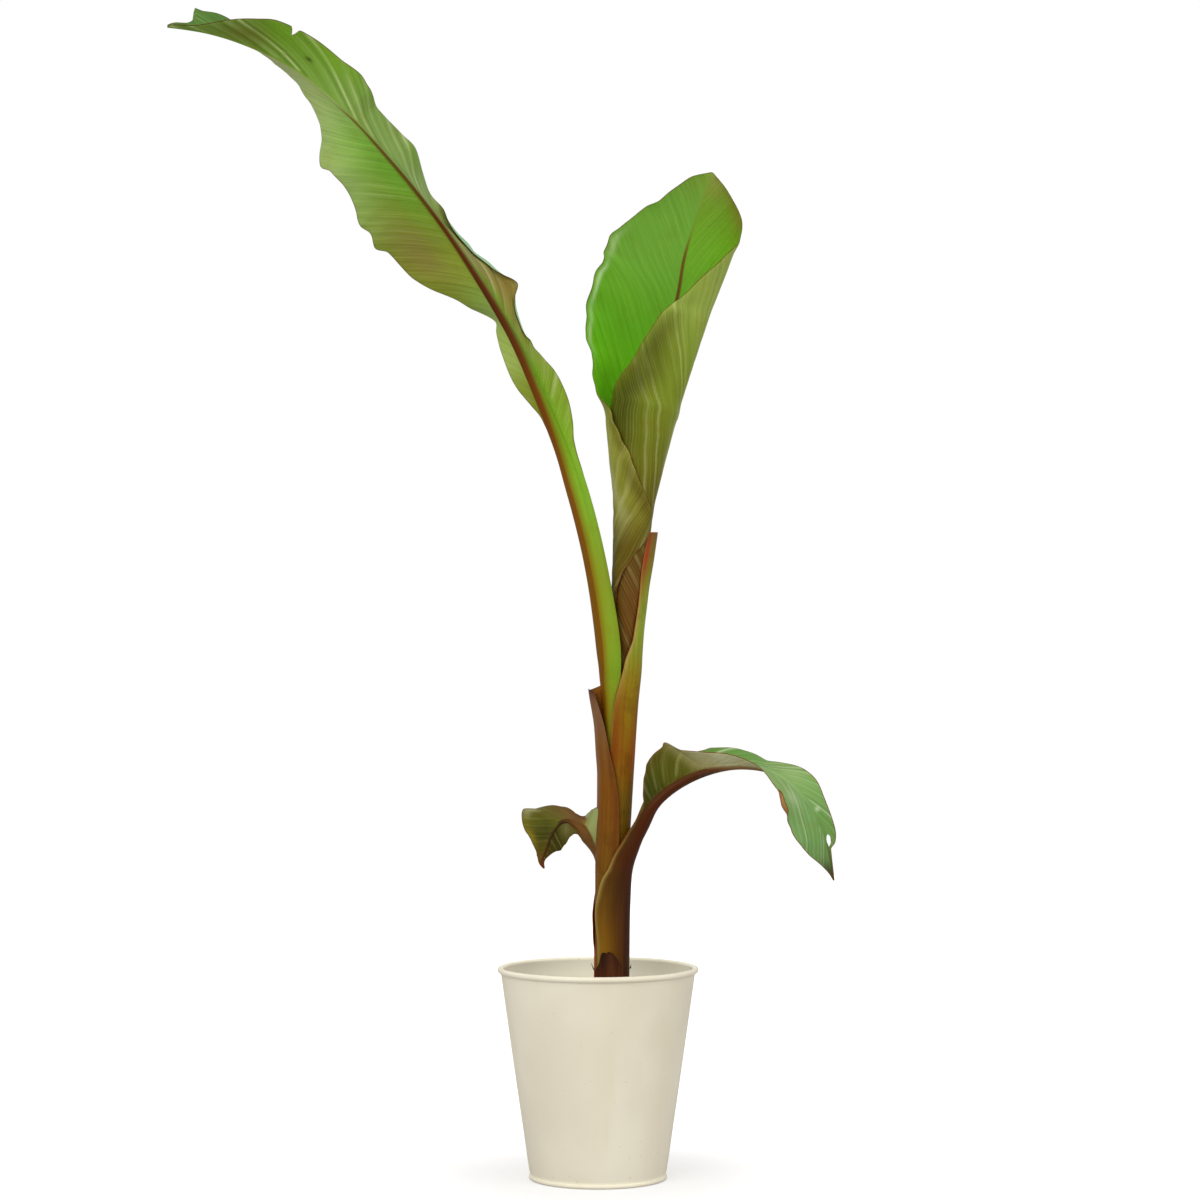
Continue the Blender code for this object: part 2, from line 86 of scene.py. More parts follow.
class Finish(Wiring):
    """A procedural finish: a Principled shader and the nodes that feed it."""

    def __init__(self, name, **settings):
        self.material = bpy.data.materials.new(name)
        self.material.use_nodes = True
        super().__init__(self.material.node_tree)
        self.shader = self.tree.nodes["Principled BSDF"]
        for socket, value in settings.items():
            self.shader.inputs[socket.replace("_", " ")].default_value = value

    def place(self):
        """The point on the piece, in metres."""
        return self.node("TexCoord", result=3)

    def along(self, uv_name):
        """The piece's own map of that name."""
        return self.node("UVMap", uv_map=uv_name)

    def stretch(self, vector, scale):
        """The same map with each axis scaled."""
        return self.node("Mapping", {"Vector": vector, "Scale": scale})

    def cloud(self, vector, scale=1.0, detail=3.0, roughness=0.5):
        """Soft noise from 0 to 1."""
        settings = {"Vector": vector, "Scale": scale, "Detail": detail, "Roughness": roughness}
        return self.node("TexNoise", settings)

    def span(self, value, low, high, to_low=0.0, to_high=1.0):
        """The value carried from one range to another, eased and held at the ends."""
        return self.node("MapRange", {"Value": value, "From Min": low, "From Max": high,
                                      "To Min": to_low, "To Max": to_high},
                         interpolation_type="SMOOTHSTEP")

    def sum(self, kind, first, second):
        """A sum of two values: ADD, MULTIPLY, SUBTRACT, MAXIMUM and so on."""
        return self.node("Math", {0: first, 1: second}, operation=kind)

    def mix(self, share, first, second, kind="MIX"):
        """Two colours mixed."""
        return self.node("Mix", {0: share, 6: first, 7: second}, result=2, data_type="RGBA",
                         blend_type=kind)

    def relief(self, height, depth):
        """Feed the shader a relief that is `depth` metres deep."""
        bump = self.node("Bump", {"Height": height, "Distance": depth, "Strength": 1.0})
        self.feed(self.shader.inputs["Normal"], bump)

    def colour(self, value):
        """Feed the base colour."""
        self.feed(self.shader.inputs["Base Color"], value)

    def gloss(self, value, low, high):
        """Feed the roughness from a value from 0 to 1."""
        self.feed(self.shader.inputs["Roughness"], self.span(value, 0.0, 1.0, low, high))


def finished(piece, finish, slot, *nodes):
    """Give a piece its finish and its place in the frame."""
    piece.data.materials.clear()
    piece.data.materials.append(finish.material)
    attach(piece, ROOT)
    if nodes:
        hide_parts(*nodes)


def arc(centre, radius, start, end, steps):
    """Points on a circle of the (r, z) plane from one angle to another, in degrees."""
    angles = np.radians(np.linspace(start, end, steps + 1))
    return [(centre[0] + radius * math.cos(a), centre[1] + radius * math.sin(a)) for a in angles]


def built(name, shape):
    """The object of a finished bmesh, linked into the scene."""
    mesh = bpy.data.meshes.new(name)
    shape.to_mesh(mesh)
    shape.free()
    made = bpy.data.objects.new(name, mesh)
    bpy.context.collection.objects.link(made)
    return made


def smoothed(piece, angle):
    """Shade a piece smooth, but for edges sharper than the angle in degrees."""
    piece.data.shade_smooth()
    piece.data.set_sharp_from_angle(angle=math.radians(angle))
    return piece


def turned(name, outline, steps):
    """A body turned about Z from an (r, z) outline, in metres."""
    shape = bmesh.new()
    verts = [shape.verts.new((r, 0.0, z)) for r, z in outline]
    edges = [shape.edges.new(pair) for pair in zip(verts, verts[1:])]
    bmesh.ops.spin(shape, geom=verts + edges, cent=(0, 0, 0), axis=(0, 0, 1), steps=steps,
                   angle=math.tau, use_merge=True)
    bmesh.ops.remove_doubles(shape, verts=shape.verts, dist=1e-6)
    bmesh.ops.recalc_face_normals(shape, faces=shape.faces)
    return smoothed(built(name, shape), 50)


FOOT_RADIUS, MOUTH_RADIUS, WALL = 0.0715, 0.1020, 0.0010
FLARE = MOUTH_RADIUS - FOOT_RADIUS
FOOT_BEAD, FOOT_BEAD_RADIUS = (0.0704, 0.0022), 0.0022
RIM_BEAD, RIM_BEAD_RADIUS = (0.1025, 0.2190), 0.0030
FLAT_RADIUS, BOW = 0.0600, 0.0003
WALL_FOOT, WALL_HEIGHT, INNER_HEIGHT = 0.0045, 0.2115, 0.2160
pot_outline = [(0.0, 0.0), (FLAT_RADIUS / 2, 0.0), (FLAT_RADIUS, 0.0)]
pot_outline += arc(FOOT_BEAD, FOOT_BEAD_RADIUS, -90, 78, 10)
for share in np.linspace(0.03, 0.97, 24):
    bow = BOW * math.sin(math.pi * share)
    pot_outline.append((FOOT_RADIUS + share * FLARE + bow, WALL_FOOT + share * WALL_HEIGHT))
pot_outline += arc(RIM_BEAD, RIM_BEAD_RADIUS, -100, 190, 20)
for share in np.linspace(0.985, 0.0, 24):
    pot_outline.append((FOOT_RADIUS - WALL + share * FLARE, WALL + share * INNER_HEIGHT))
pot_outline += [(FLAT_RADIUS, WALL), (0.0, WALL)]
metal_pot = turned("metal_pot", pot_outline, 144)

# The paint inside is painted lighter than the paint outside: painted light that makes up for the
# shade inside the pot. A cone that runs within the wall's thickness parts it from the paint
# outside.
CONE_FOOT, CONE_SLOPE = FOOT_RADIUS - 0.0011, 0.1430
cream = Finish("cream_paint", Specular_IOR_Level=0.45, Coat_Weight=0.12, Coat_Roughness=0.3)
spot = cream.place()
broad = cream.cloud(spot, 9.0, 2.0)
brushed = cream.cloud(cream.stretch(spot, (22.0, 22.0, 2.0)), 1.0, 4.0)
grain = cream.cloud(spot, 900.0, 2.0)
paint = cream.mix(cream.span(broad, 0.35, 0.65), rgb(229, 221, 199), rgb(236, 229, 208))
paint = cream.mix(cream.span(brushed, 0.45, 0.75, 0.0, 0.35), paint, rgb(222, 209, 180))
height = cream.node("SeparateXYZ", {"Vector": spot}, result=2)
reach = cream.node("VectorMath", {0: cream.stretch(spot, (1.0, 1.0, 0.0))}, result=1,
                   operation="LENGTH")
wall = cream.sum("ADD", cream.sum("MULTIPLY", height, CONE_SLOPE), CONE_FOOT)
inner = cream.span(cream.sum("SUBTRACT", wall, reach), -0.0002, 0.0002)
# Painted light: the inside of the wall gets a lighter cream to make up for its shade.
paint = cream.mix(inner, paint, rgb(255, 251, 228))
specks = cream.span(cream.cloud(spot, 260.0, 1.0), 0.74, 0.8, 0.0, 0.35)
cream.colour(cream.mix(specks, paint, rgb(182, 165, 130)))
cream.gloss(brushed, 0.36, 0.52)
cream.relief(cream.sum("ADD", cream.sum("MULTIPLY", grain, 0.3), brushed), 0.00008)
finished(metal_pot, cream, "pot_metal", "pot")


# The potting mix: a lumpy bed of dark peat and bark, a little heaped at the stem, with loose bits
# of bark and a few white grains of perlite lying in its surface.

SOIL_RADIUS, SOIL_TOP, SOIL_HEAP = 0.0952, 0.1855, 0.0042
BED_RADIUS, BED, BED_TAPER, BED_DEPTH = 0.0915, 0.150, 0.0037, 0.034
SOIL_EDGE, LUMP_HEIGHT, LUMP_FADE = 0.184, 0.0022, 0.006
soil_outline = [(0.0, BED), (0.05, BED), (BED_RADIUS, BED)]
soil_outline += [(BED_RADIUS + BED_TAPER * s, BED + BED_DEPTH * s)
                 for s in np.linspace(0.2, 1, 6)]
soil_outline += [(SOIL_RADIUS * (1 - s), SOIL_TOP + SOIL_HEAP * s)
                 for s in np.linspace(0.02, 1, 56)]
potting_mix = turned("potting_mix", soil_outline, 180)
for vert in potting_mix.data.vertices:
    if vert.co.z > SOIL_EDGE:
        lumps = noise.fractal(vert.co * 95, 1.0, 2.2, 4)
        fade = min(1.0, (SOIL_RADIUS - vert.co.xy.length) / LUMP_FADE)
        vert.co.z += LUMP_HEIGHT * lumps * fade

peat = Finish("peat", Roughness=0.95, Specular_IOR_Level=0.2)
spot = peat.place()
crumbs = peat.cloud(spot, 240.0, 6.0, 0.7)
damp = peat.mix(peat.span(peat.cloud(spot, 34.0, 3.0), 0.4, 0.62), rgb(38, 28, 21), rgb(64, 47, 34))
damp = peat.mix(peat.span(crumbs, 0.52, 0.72), damp, rgb(104, 78, 52))
peat.colour(peat.mix(peat.span(crumbs, 0.2, 0.42, 1.0, 0.0), damp, rgb(20, 14, 11)))
peat.gloss(crumbs, 0.8, 1.0)
peat.relief(crumbs, 0.0012)
finished(potting_mix, peat, "soil", "potting_soil")


def scattered(name, count, size, squash, seed, reach):
    """Small irregular lumps strewn over the potting mix, all in one mesh."""
    draw = np.random.default_rng(seed)
    shape = bmesh.new()
    for _ in range(count):
        radius = reach * math.sqrt(draw.uniform(0.08, 1.0))
        angle = draw.uniform(0, math.tau)
        lump = bmesh.ops.create_icosphere(shape, subdivisions=1, radius=size * draw.uniform(0.5, 1))
        verts = lump["verts"]
        for vert in verts:
            vert.co *= draw.uniform(0.75, 1.25)
        bmesh.ops.scale(shape, verts=verts, vec=(1.0, *squash))
        turn = Vector((draw.uniform(-1, 1), draw.uniform(-1, 1), draw.uniform(-1, 1)))
        tilt = turn.to_track_quat("X", "Z").to_matrix()
        bmesh.ops.transform(shape, matrix=tilt.to_4x4(), verts=verts)
        height = SOIL_TOP + SOIL_HEAP * (1 - radius / SOIL_RADIUS) + draw.uniform(-0.0004, 0.0008)
        middle = (radius * math.cos(angle), radius * math.sin(angle), height)
        bmesh.ops.translate(shape, verts=verts, vec=middle)
    return built(name, shape)


def grained(name, level, scale, detail, span, dark, pale, gloss, depth):
    """A finish whose colour, gloss and relief all follow one grain, scaled on each axis."""
    made = Finish(name, Specular_IOR_Level=level)
    grain = made.cloud(made.stretch(made.place(), scale), 1.0, detail)
    made.colour(made.mix(made.span(grain, *span), rgb(*dark), rgb(*pale)))
    made.gloss(grain, *gloss)
    made.relief(grain, depth)
    return made


bark_bits = scattered("bark_bits", count=420, size=0.0036, squash=(0.5, 0.4), seed=7, reach=0.089)
bark = grained("bark", level=0.3, scale=(300.0, 900.0, 900.0), detail=4.0, span=(0.35, 0.65),
               dark=(46, 30, 20), pale=(98, 68, 42), gloss=(0.75, 0.95), depth=0.0004)
finished(bark_bits, bark, "soil")

perlite_grains = scattered("perlite_grains", count=60, size=0.0017, squash=(0.9, 0.8), seed=11,
                           reach=0.088)
perlite = grained("perlite", level=0.4, scale=(900.0, 900.0, 900.0), detail=3.0, span=(0.3, 0.7),
                  dark=(196, 190, 178), pale=(232, 229, 221), gloss=(0.8, 1.0), depth=0.0003)
finished(perlite_grains, perlite, "soil")


# The leaf sheaths that end in the stem: curved shells of fleshy, fibrous leaf base wrapped round
# the core. The big one in the middle is orange and green, the cut stub on the left is red-brown,
# and a dead scale, dry and almost black, clings to the foot.


def cubic(values, slopes, k, t, step):
    """Values a share `t` of the way from knot `k` to the next, on a cubic that keeps the slopes."""
    start = (1 + 2 * t) * (1 - t) ** 2 * values[k] + t * (1 - t) ** 2 * step * slopes[k]
    end = t**2 * (3 - 2 * t) * values[k + 1] + t**2 * (t - 1) * step * slopes[k + 1]
    return start + end


def curve(knots, at):
    """Read {place: value} knots at the places `at`, on a smooth curve that never overshoots.

    A plain number in place of the knots holds all along.
    """
    at = np.asarray(at, float)
    if not isinstance(knots, dict):
        return np.full_like(at, knots)
    x, y = (np.array(part, float) for part in zip(*sorted(knots.items())))
    if y.ndim > 1:
        return np.stack([curve(dict(zip(x, part)), at) for part in y.T], axis=-1)
    step = np.diff(x)
    rise = np.diff(y) / step
    slope = np.zeros_like(y)
    slope[0], slope[-1] = rise[0], rise[-1]
    product = rise[:-1] * rise[1:]
    total = np.where(product > 0, rise[:-1] + rise[1:], 1.0)
    slope[1:-1] = np.where(product > 0, 2 * product / total, 0.0)
    k = np.clip(np.searchsorted(x, at, side="right") - 1, 0, len(x) - 2)
    return cubic(y, slope, k, np.clip((at - x[k]) / step[k], 0.0, 1.0), step[k])


def tinted(knots, at):
    """Read {place: (red, green, blue)} knots at the places `at`."""
    return curve({place: rgb(*colour) for place, colour in knots.items()}, at)


def ease(value, low, high):
    """A smooth step from 0 at `low` to 1 at `high`."""
    t = np.clip((value - low) / (high - low), 0, 1)
    return t * t * (3 - 2 * t)


def marked(colours, marks, along, across):
    """Lay soft marks over a grid of colours.

    A mark is a place along and across, its reach each way, a colour and a strength from 0 to 1.
    """
    for place, off, reach, spread, colour, strength in marks:
        share = np.exp(-(((along - place) / reach) ** 2) - ((across - off) / spread) ** 2)
        share = (strength * share)[..., None]
        colours = colours * (1 - share) + np.array(rgb(*colour)) * share
    return colours


def sheet(name, front, back, maps, tints, blade, holes=None):
    """A closed sheet between two grids of points (rows by columns, mm).

    `maps` is the grid of each UV map, `tints` the colours of the front and of the back, and
    `blade` where the sheet is a blade and not a stalk. `holes` marks the cells left open.
    """
    rows, columns = front.shape[:2]
    grid = bmesh.new()
    bmesh.ops.create_grid(grid, x_segments=columns - 1, y_segments=rows - 1, size=1.0)
    if holes is not None:
        gone = []
        for face in grid.faces:
            middle = face.calc_center_median()
            column = int((middle.x + 1) / 2 * (columns - 1))
            row = int((middle.y + 1) / 2 * (rows - 1))
            if holes[row, column]:
                gone.append(face)
        bmesh.ops.delete(grid, geom=gone, context="FACES")
    single = len(grid.verts)
    bmesh.ops.extrude_face_region(grid, geom=grid.faces[:], use_keep_orig=True)
    made = built(name, grid)
    mesh = made.data
    flat = np.empty(len(mesh.vertices) * 3)
    mesh.vertices.foreach_get("co", flat)
    flat = flat.reshape(-1, 3)
    column = np.rint((flat[:, 0] + 1) / 2 * (columns - 1)).astype(int)
    row = np.rint((flat[:, 1] + 1) / 2 * (rows - 1)).astype(int)
    under = (np.arange(len(flat)) < single)[:, None]

    def spread(first, second):
        return np.where(under, second[row, column], first[row, column])

    mesh.vertices.foreach_set("co", (spread(front, back) * MM).ravel())
    loops = np.empty(len(mesh.loops), int)
    mesh.loops.foreach_get("vertex_index", loops)
    for uv_name, grid in maps.items():
        layer = mesh.uv_layers.new(name=uv_name)
        layer.data.foreach_set("uv", grid[row, column][loops].ravel())
    tint = np.hstack([spread(*tints), np.ones((len(flat), 1))])
    mesh.attributes.new("tint", "FLOAT_COLOR", "POINT").data.foreach_set("color", tint.ravel())
    blade = blade[row, column].ravel()
    mesh.attributes.new("blade", "FLOAT", "POINT").data.foreach_set("value", blade)
    mesh.update()
    return smoothed(made, 60)


def sheath(name, shape, rows, columns):
    """A shell that wraps round the stem, stands upright and thins out to its edges.

    A row of the table is a height, the X and Y of the middle, the radius, and the angles at which
    the shell starts and ends. `top` is the height of its upper edge at shares of the way round. A
    mark's place is a height and such a share.
    """
    table = np.array(shape["table"], float)
    share = np.linspace(0, 1, columns)[None, :]
    climb = np.linspace(0, 1, rows)[:, None]
    foot = table[0, 0]
    top = curve(shape["top"], share) if "top" in shape else np.full_like(share, table[-1, 0])
    tall = foot + (top - foot) * climb
    x, y, radius, start, end = (curve(dict(zip(table[:, 0], part)), tall) for part in table.T[1:])
    angle = np.radians(start + (end - start) * share)
    to_edge = np.minimum(share, 1 - share) * np.radians(end - start) * radius
    near_edge = np.minimum(to_edge, top - tall)
    thickness = shape["thick"] * (0.35 + 0.65 * ease(near_edge, 0, 6))
    ribs = 0.12 * np.sin(angle * 21 + 2 * np.sin(tall / 60)) * ease(near_edge, 0, 5)
    flare = shape["flare"] * (1 - ease(to_edge, 0, 5)) ** 2
    outer = radius + ribs + flare
    rounds = np.stack([np.cos(angle), np.sin(angle), np.zeros_like(angle)], axis=-1)
    middle = np.stack([x, y, tall], axis=-1)
    front = middle + outer[..., None] * rounds
    back = middle + (outer - thickness)[..., None] * rounds
    outside = marked(tinted(shape["outside"], tall), shape["marks"], tall, share)
    inside = tinted(shape["inside"], tall)
    fibres = np.stack([np.degrees(angle) * 0.03, tall * 0.1], axis=-1)
    rim = np.stack([near_edge * 0.1, share * np.ones_like(tall)], axis=-1)
    return sheet(name, front, back, {"fibres": fibres, "rim": rim}, (outside, inside),
                 np.zeros((rows, columns)))


def flesh(name, rim_colour, rim_width, depth, gloss, streaks=0.5):
    """Sheath and stalk: fibres along the length, faint blotches and a dark thin edge."""
    made = Finish(name, Specular_IOR_Level=0.09)
    tint = made.node("Attribute", attribute_name="tint")
    fibres = made.along("fibres")
    fine = made.cloud(made.stretch(fibres, (14.0, 0.22, 1.0)), 1.0, 4.0, 0.6)
    wide = made.cloud(made.stretch(fibres, (3.2, 0.10, 1.0)), 1.0, 3.0)
    shade = made.sum("ADD", made.sum("MULTIPLY", fine, 0.5), made.sum("MULTIPLY", wide, 0.5))
    deep = made.mix(1.0, tint, (0.6, 0.5, 0.4), "MULTIPLY")
    body = made.mix(made.span(shade, 0.5, 0.34, 0.0, streaks), tint, deep)
    pale = made.mix(0.15, made.mix(1.0, body, (1.35, 1.3, 1.1), "MULTIPLY"), rgb(190, 150, 70))
    body = made.mix(made.span(shade, 0.5, 0.68, 0.0, 0.6 * streaks), body, pale)
    spots = made.cloud(made.place(), 48.0, 4.0, 0.6)
    body = made.mix(made.span(spots, 0.5, 0.72, 0.0, 0.5), body, deep)
    freckles = made.span(made.cloud(made.place(), 420.0, 2.0), 0.68, 0.76, 0.0, 0.4)
    body = made.mix(freckles, body, deep)
    rim = made.node("SeparateXYZ", {"Vector": made.along("rim")})
    edge = made.span(rim, 0.3 * rim_width, rim_width, 1.0, 0.0)
    made.colour(made.mix(edge, body, rgb(*rim_colour)))
    made.gloss(fine, *gloss)
    made.relief(shade, depth)
    return made


CENTRE_SHEATH = {
    "thick": 2.2, "flare": 0.2,
    "table": [
        (184, 15.2, 0, 13, -160, 160), (250, 15.6, 0, 13.5, -158, 158),
        (323, 16.8, 0, 15, -152, 152), (397, 19, 0, 16.9, -140, 140),
        (450, 21.5, 0, 17.6, -118, 118), (500, 24.7, -0.3, 17.8, -112, 112),
        (540, 29.7, 2.5, 16.6, -97, 99), (569, 30.3, 2, 17.8, -67, 67),
        (611, 32.5, 1.5, 20.4, -58, 58), (636, 35.7, 1, 21, -62, 62), (678, 49, 0.5, 14, -71, 71),
    ],
    "outside": {
        184: (96, 66, 4), 380: (118, 84, 8), 410: (124, 84, 6), 450: (126, 64, 1),
        490: (128, 78, 2), 520: (132, 106, 12), 570: (136, 152, 40), 610: (130, 130, 26),
        650: (122, 104, 28), 678: (116, 92, 46),
    },
    "inside": {184: (120, 100, 50), 600: (140, 138, 78), 678: (110, 100, 60)},
    "marks": [
        (470, 0.7, 130, 0.12, (116, 40, 10), 0.8), (590, 0.76, 90, 0.14, (124, 60, 20), 0.6),
        (500, 0.24, 60, 0.12, (138, 114, 10), 0.8), (440, 0.4, 30, 0.14, (150, 84, 16), 0.6),
        (395, 0.35, 20, 0.14, (104, 84, 12), 0.6), (590, 0.3, 40, 0.25, (142, 158, 60), 0.6),
        (575, 0.03, 50, 0.035, (190, 150, 100), 0.6), (655, 0.05, 30, 0.1, (150, 40, 24), 0.85),
    ],
}
middle_sheath = sheath("middle_sheath", CENTRE_SHEATH, rows=260, columns=150)
stem_skin = flesh("stem_skin", rim_colour=(170, 96, 50), rim_width=0.07, depth=0.00025,
                  gloss=(0.4, 0.55))
finished(middle_sheath, stem_skin, "stem", "centre_sheath")

LEFT_STUB = {
    "thick": 1.9, "flare": 0.5,
    "table": [
        (184, 13.4, 0, 16.5, 60, 300), (250, 13.5, 0, 16.6, 62, 300), (300, 14.2, 0, 17.2, 66, 295),
        (330, 15.4, 0, 18.2, 70, 290), (358, 17, 0, 19, 72, 287), (397, 18.6, 0, 19.7, 78, 280),
        (422, 19, 0, 20, 88, 269), (444, 17.5, 0, 19.8, 104, 258), (474, 14.3, 0, 18.5, 102, 248),
        (507, 7.5, 0, 17, 92, 236), (519, 5.4, 0, 16.5, 90, 233),
    ],
    "top": {0: 518, 0.15: 515.5, 0.3: 513.5, 0.45: 512.5, 0.6: 513.5, 0.75: 513, 0.9: 511, 1: 508},
    "outside": {
        184: (110, 74, 4), 300: (114, 76, 6), 350: (112, 68, 6), 400: (118, 70, 6),
        450: (122, 80, 32), 490: (126, 90, 60), 518: (84, 48, 26),
    },
    "inside": {184: (60, 26, 6), 470: (120, 66, 14), 518: (168, 108, 36)},
    "marks": [
        (300, 0.8, 60, 0.1, (120, 88, 14), 0.5), (400, 0.95, 60, 0.05, (92, 40, 12), 0.5),
        # Painted highlight: the pale beige marks at 400 and 440 run down the stub's left side.
        (400, 0.52, 50, 0.06, (150, 118, 84), 0.6), (440, 0.62, 80, 0.07, (128, 92, 68), 0.6),
        (514, 0.6, 5, 0.5, (58, 30, 18), 0.7),
    ],
}
left_stub = sheath("left_stub", LEFT_STUB, rows=210, columns=130)
old_skin = flesh("old_skin", rim_colour=(50, 20, 8), rim_width=0.06, depth=0.00025,
                 gloss=(0.42, 0.58))
finished(left_stub, old_skin, "old_sheath", "left_stub_sheath")

DEAD_SCALE = {
    "thick": 1.2, "flare": 1.2,
    "table": [
        (184, 15.5, -0.8, 20.4, 208, 330), (211, 15.5, -0.8, 20.4, 208, 326),
        (225, 15.5, -0.8, 20.3, 212, 318), (240, 15.5, -0.8, 20.1, 214, 312),
    ],
    "top": {
        0: 219, 0.1: 226, 0.22: 238, 0.33: 238.5, 0.37: 236.5, 0.42: 239.5, 0.55: 238, 0.68: 232,
        0.82: 222, 0.93: 213, 1: 206,
    },
    "outside": {184: (46, 20, 8), 215: (72, 34, 12), 240: (44, 20, 12)},
    "inside": {184: (60, 34, 22), 240: (70, 40, 28)},
    "marks": [
        (205, 0.5, 40, 0.12, (96, 56, 28), 0.6), (230, 0.2, 10, 0.15, (40, 20, 14), 0.6),
    ],
}
dead_scale = sheath("dead_scale", DEAD_SCALE, rows=70, columns=70)
shape = bmesh.new()
for foot, point in (((-4.2, -3.4, 219), (-7.4, -4.6, 226.5)),
                    ((33.8, -7.5, 221), (34.8, -8.4, 225.5)),
                    ((-3.4, -6.2, 200), (-6.4, -8.4, 205)), ((16, 19.4, 214), (16, 23, 224))):
    foot, point = Vector(foot), Vector(point)
    spur = bmesh.ops.create_cone(shape, cap_ends=True, segments=8, radius1=1.3, radius2=0.15,
                                 depth=1.0)["verts"]
    heading = point - foot
    bmesh.ops.scale(shape, verts=spur, vec=(1, 0.5, heading.length))
    bmesh.ops.rotate(shape, verts=spur, matrix=heading.to_track_quat("Z", "Y").to_matrix())
    bmesh.ops.translate(shape, verts=spur, vec=(foot + point) / 2)
bmesh.ops.scale(shape, verts=shape.verts, vec=(MM, MM, MM))
dry_spurs = built("dry_spurs", shape)
husk = grained("husk", level=0.2, scale=(900.0, 900.0, 120.0), detail=4.0, span=(0.3, 0.7),
               dark=(40, 18, 8), pale=(92, 50, 24), gloss=(0.6, 0.8), depth=0.0004)
finished(dry_spurs, husk, "dead_scale")

dry_skin = flesh("dry_skin", rim_colour=(24, 11, 6), rim_width=0.09, depth=0.0005,
                 gloss=(0.55, 0.75), streaks=0.8)
finished(dead_scale, dry_skin, "dead_scale", "base_scale")


# The leaves that live. Each is one sheet from its sheath in the stem, through the stalk, to the
# tip: a midrib that thickens towards the stalk, and on each side a blade of fine cross veins that
# sweep towards the tip. The edge is a thin red-brown line.


def path(points, foot, at):
    """Points on a smooth curve through `points`, 0 at the one numbered `foot`, 1 at the last."""
    points = np.array(points, float)
    lengths = np.linalg.norm(np.diff(points, axis=0), axis=1)
    place = np.concatenate([[0.0], np.cumsum(lengths)])
    place = (place - place[foot]) / (place[-1] - place[foot])
    slope = np.gradient(points, place, axis=0)
    k = np.clip(np.searchsorted(place, at, side="right") - 1, 0, len(place) - 2)
    step = (place[k + 1] - place[k])[:, None]
    return cubic(points, slope, k, (at - place[k])[:, None] / step, step)


def unit(vectors):
    """The vectors at length one."""
    return vectors / np.linalg.norm(vectors, axis=-1, keepdims=True)


def leaf_frame(leaf, at):
    """Midrib points and forward, upward and left-hand directions of a leaf at the places `at`."""
    middle = path(leaf["midrib"], leaf["foot"], at)
    nearby = 0.002
    ahead = path(leaf["midrib"], leaf["foot"], np.minimum(at + nearby, 1.0))
    behind = path(leaf["midrib"], leaf["foot"], np.maximum(at - nearby, leaf["start"]))
    forward = unit(ahead - behind)
    turn = np.radians(curve(leaf["turn"], at))[:, None]
    back = np.array([0.0, 1.0, 0.0])
    flat = unit(back - forward * (forward @ back)[:, None])
    normal = np.cos(turn) * flat + np.sin(turn) * np.cross(flat, forward)
    return middle, forward, normal, np.cross(normal, forward)


def waves(value, spacing, beat):
    """Uneven waves about `spacing` apart, from -1 to 1."""
    turns = math.tau * value / spacing + beat
    swell = 0.65 + 0.35 * np.sin(0.23 * turns + 2 * beat)
    return swell * (0.65 * np.sin(turns + 0.9 * np.sin(0.31 * turns)) + 0.35 * np.sin(1.73 * turns))


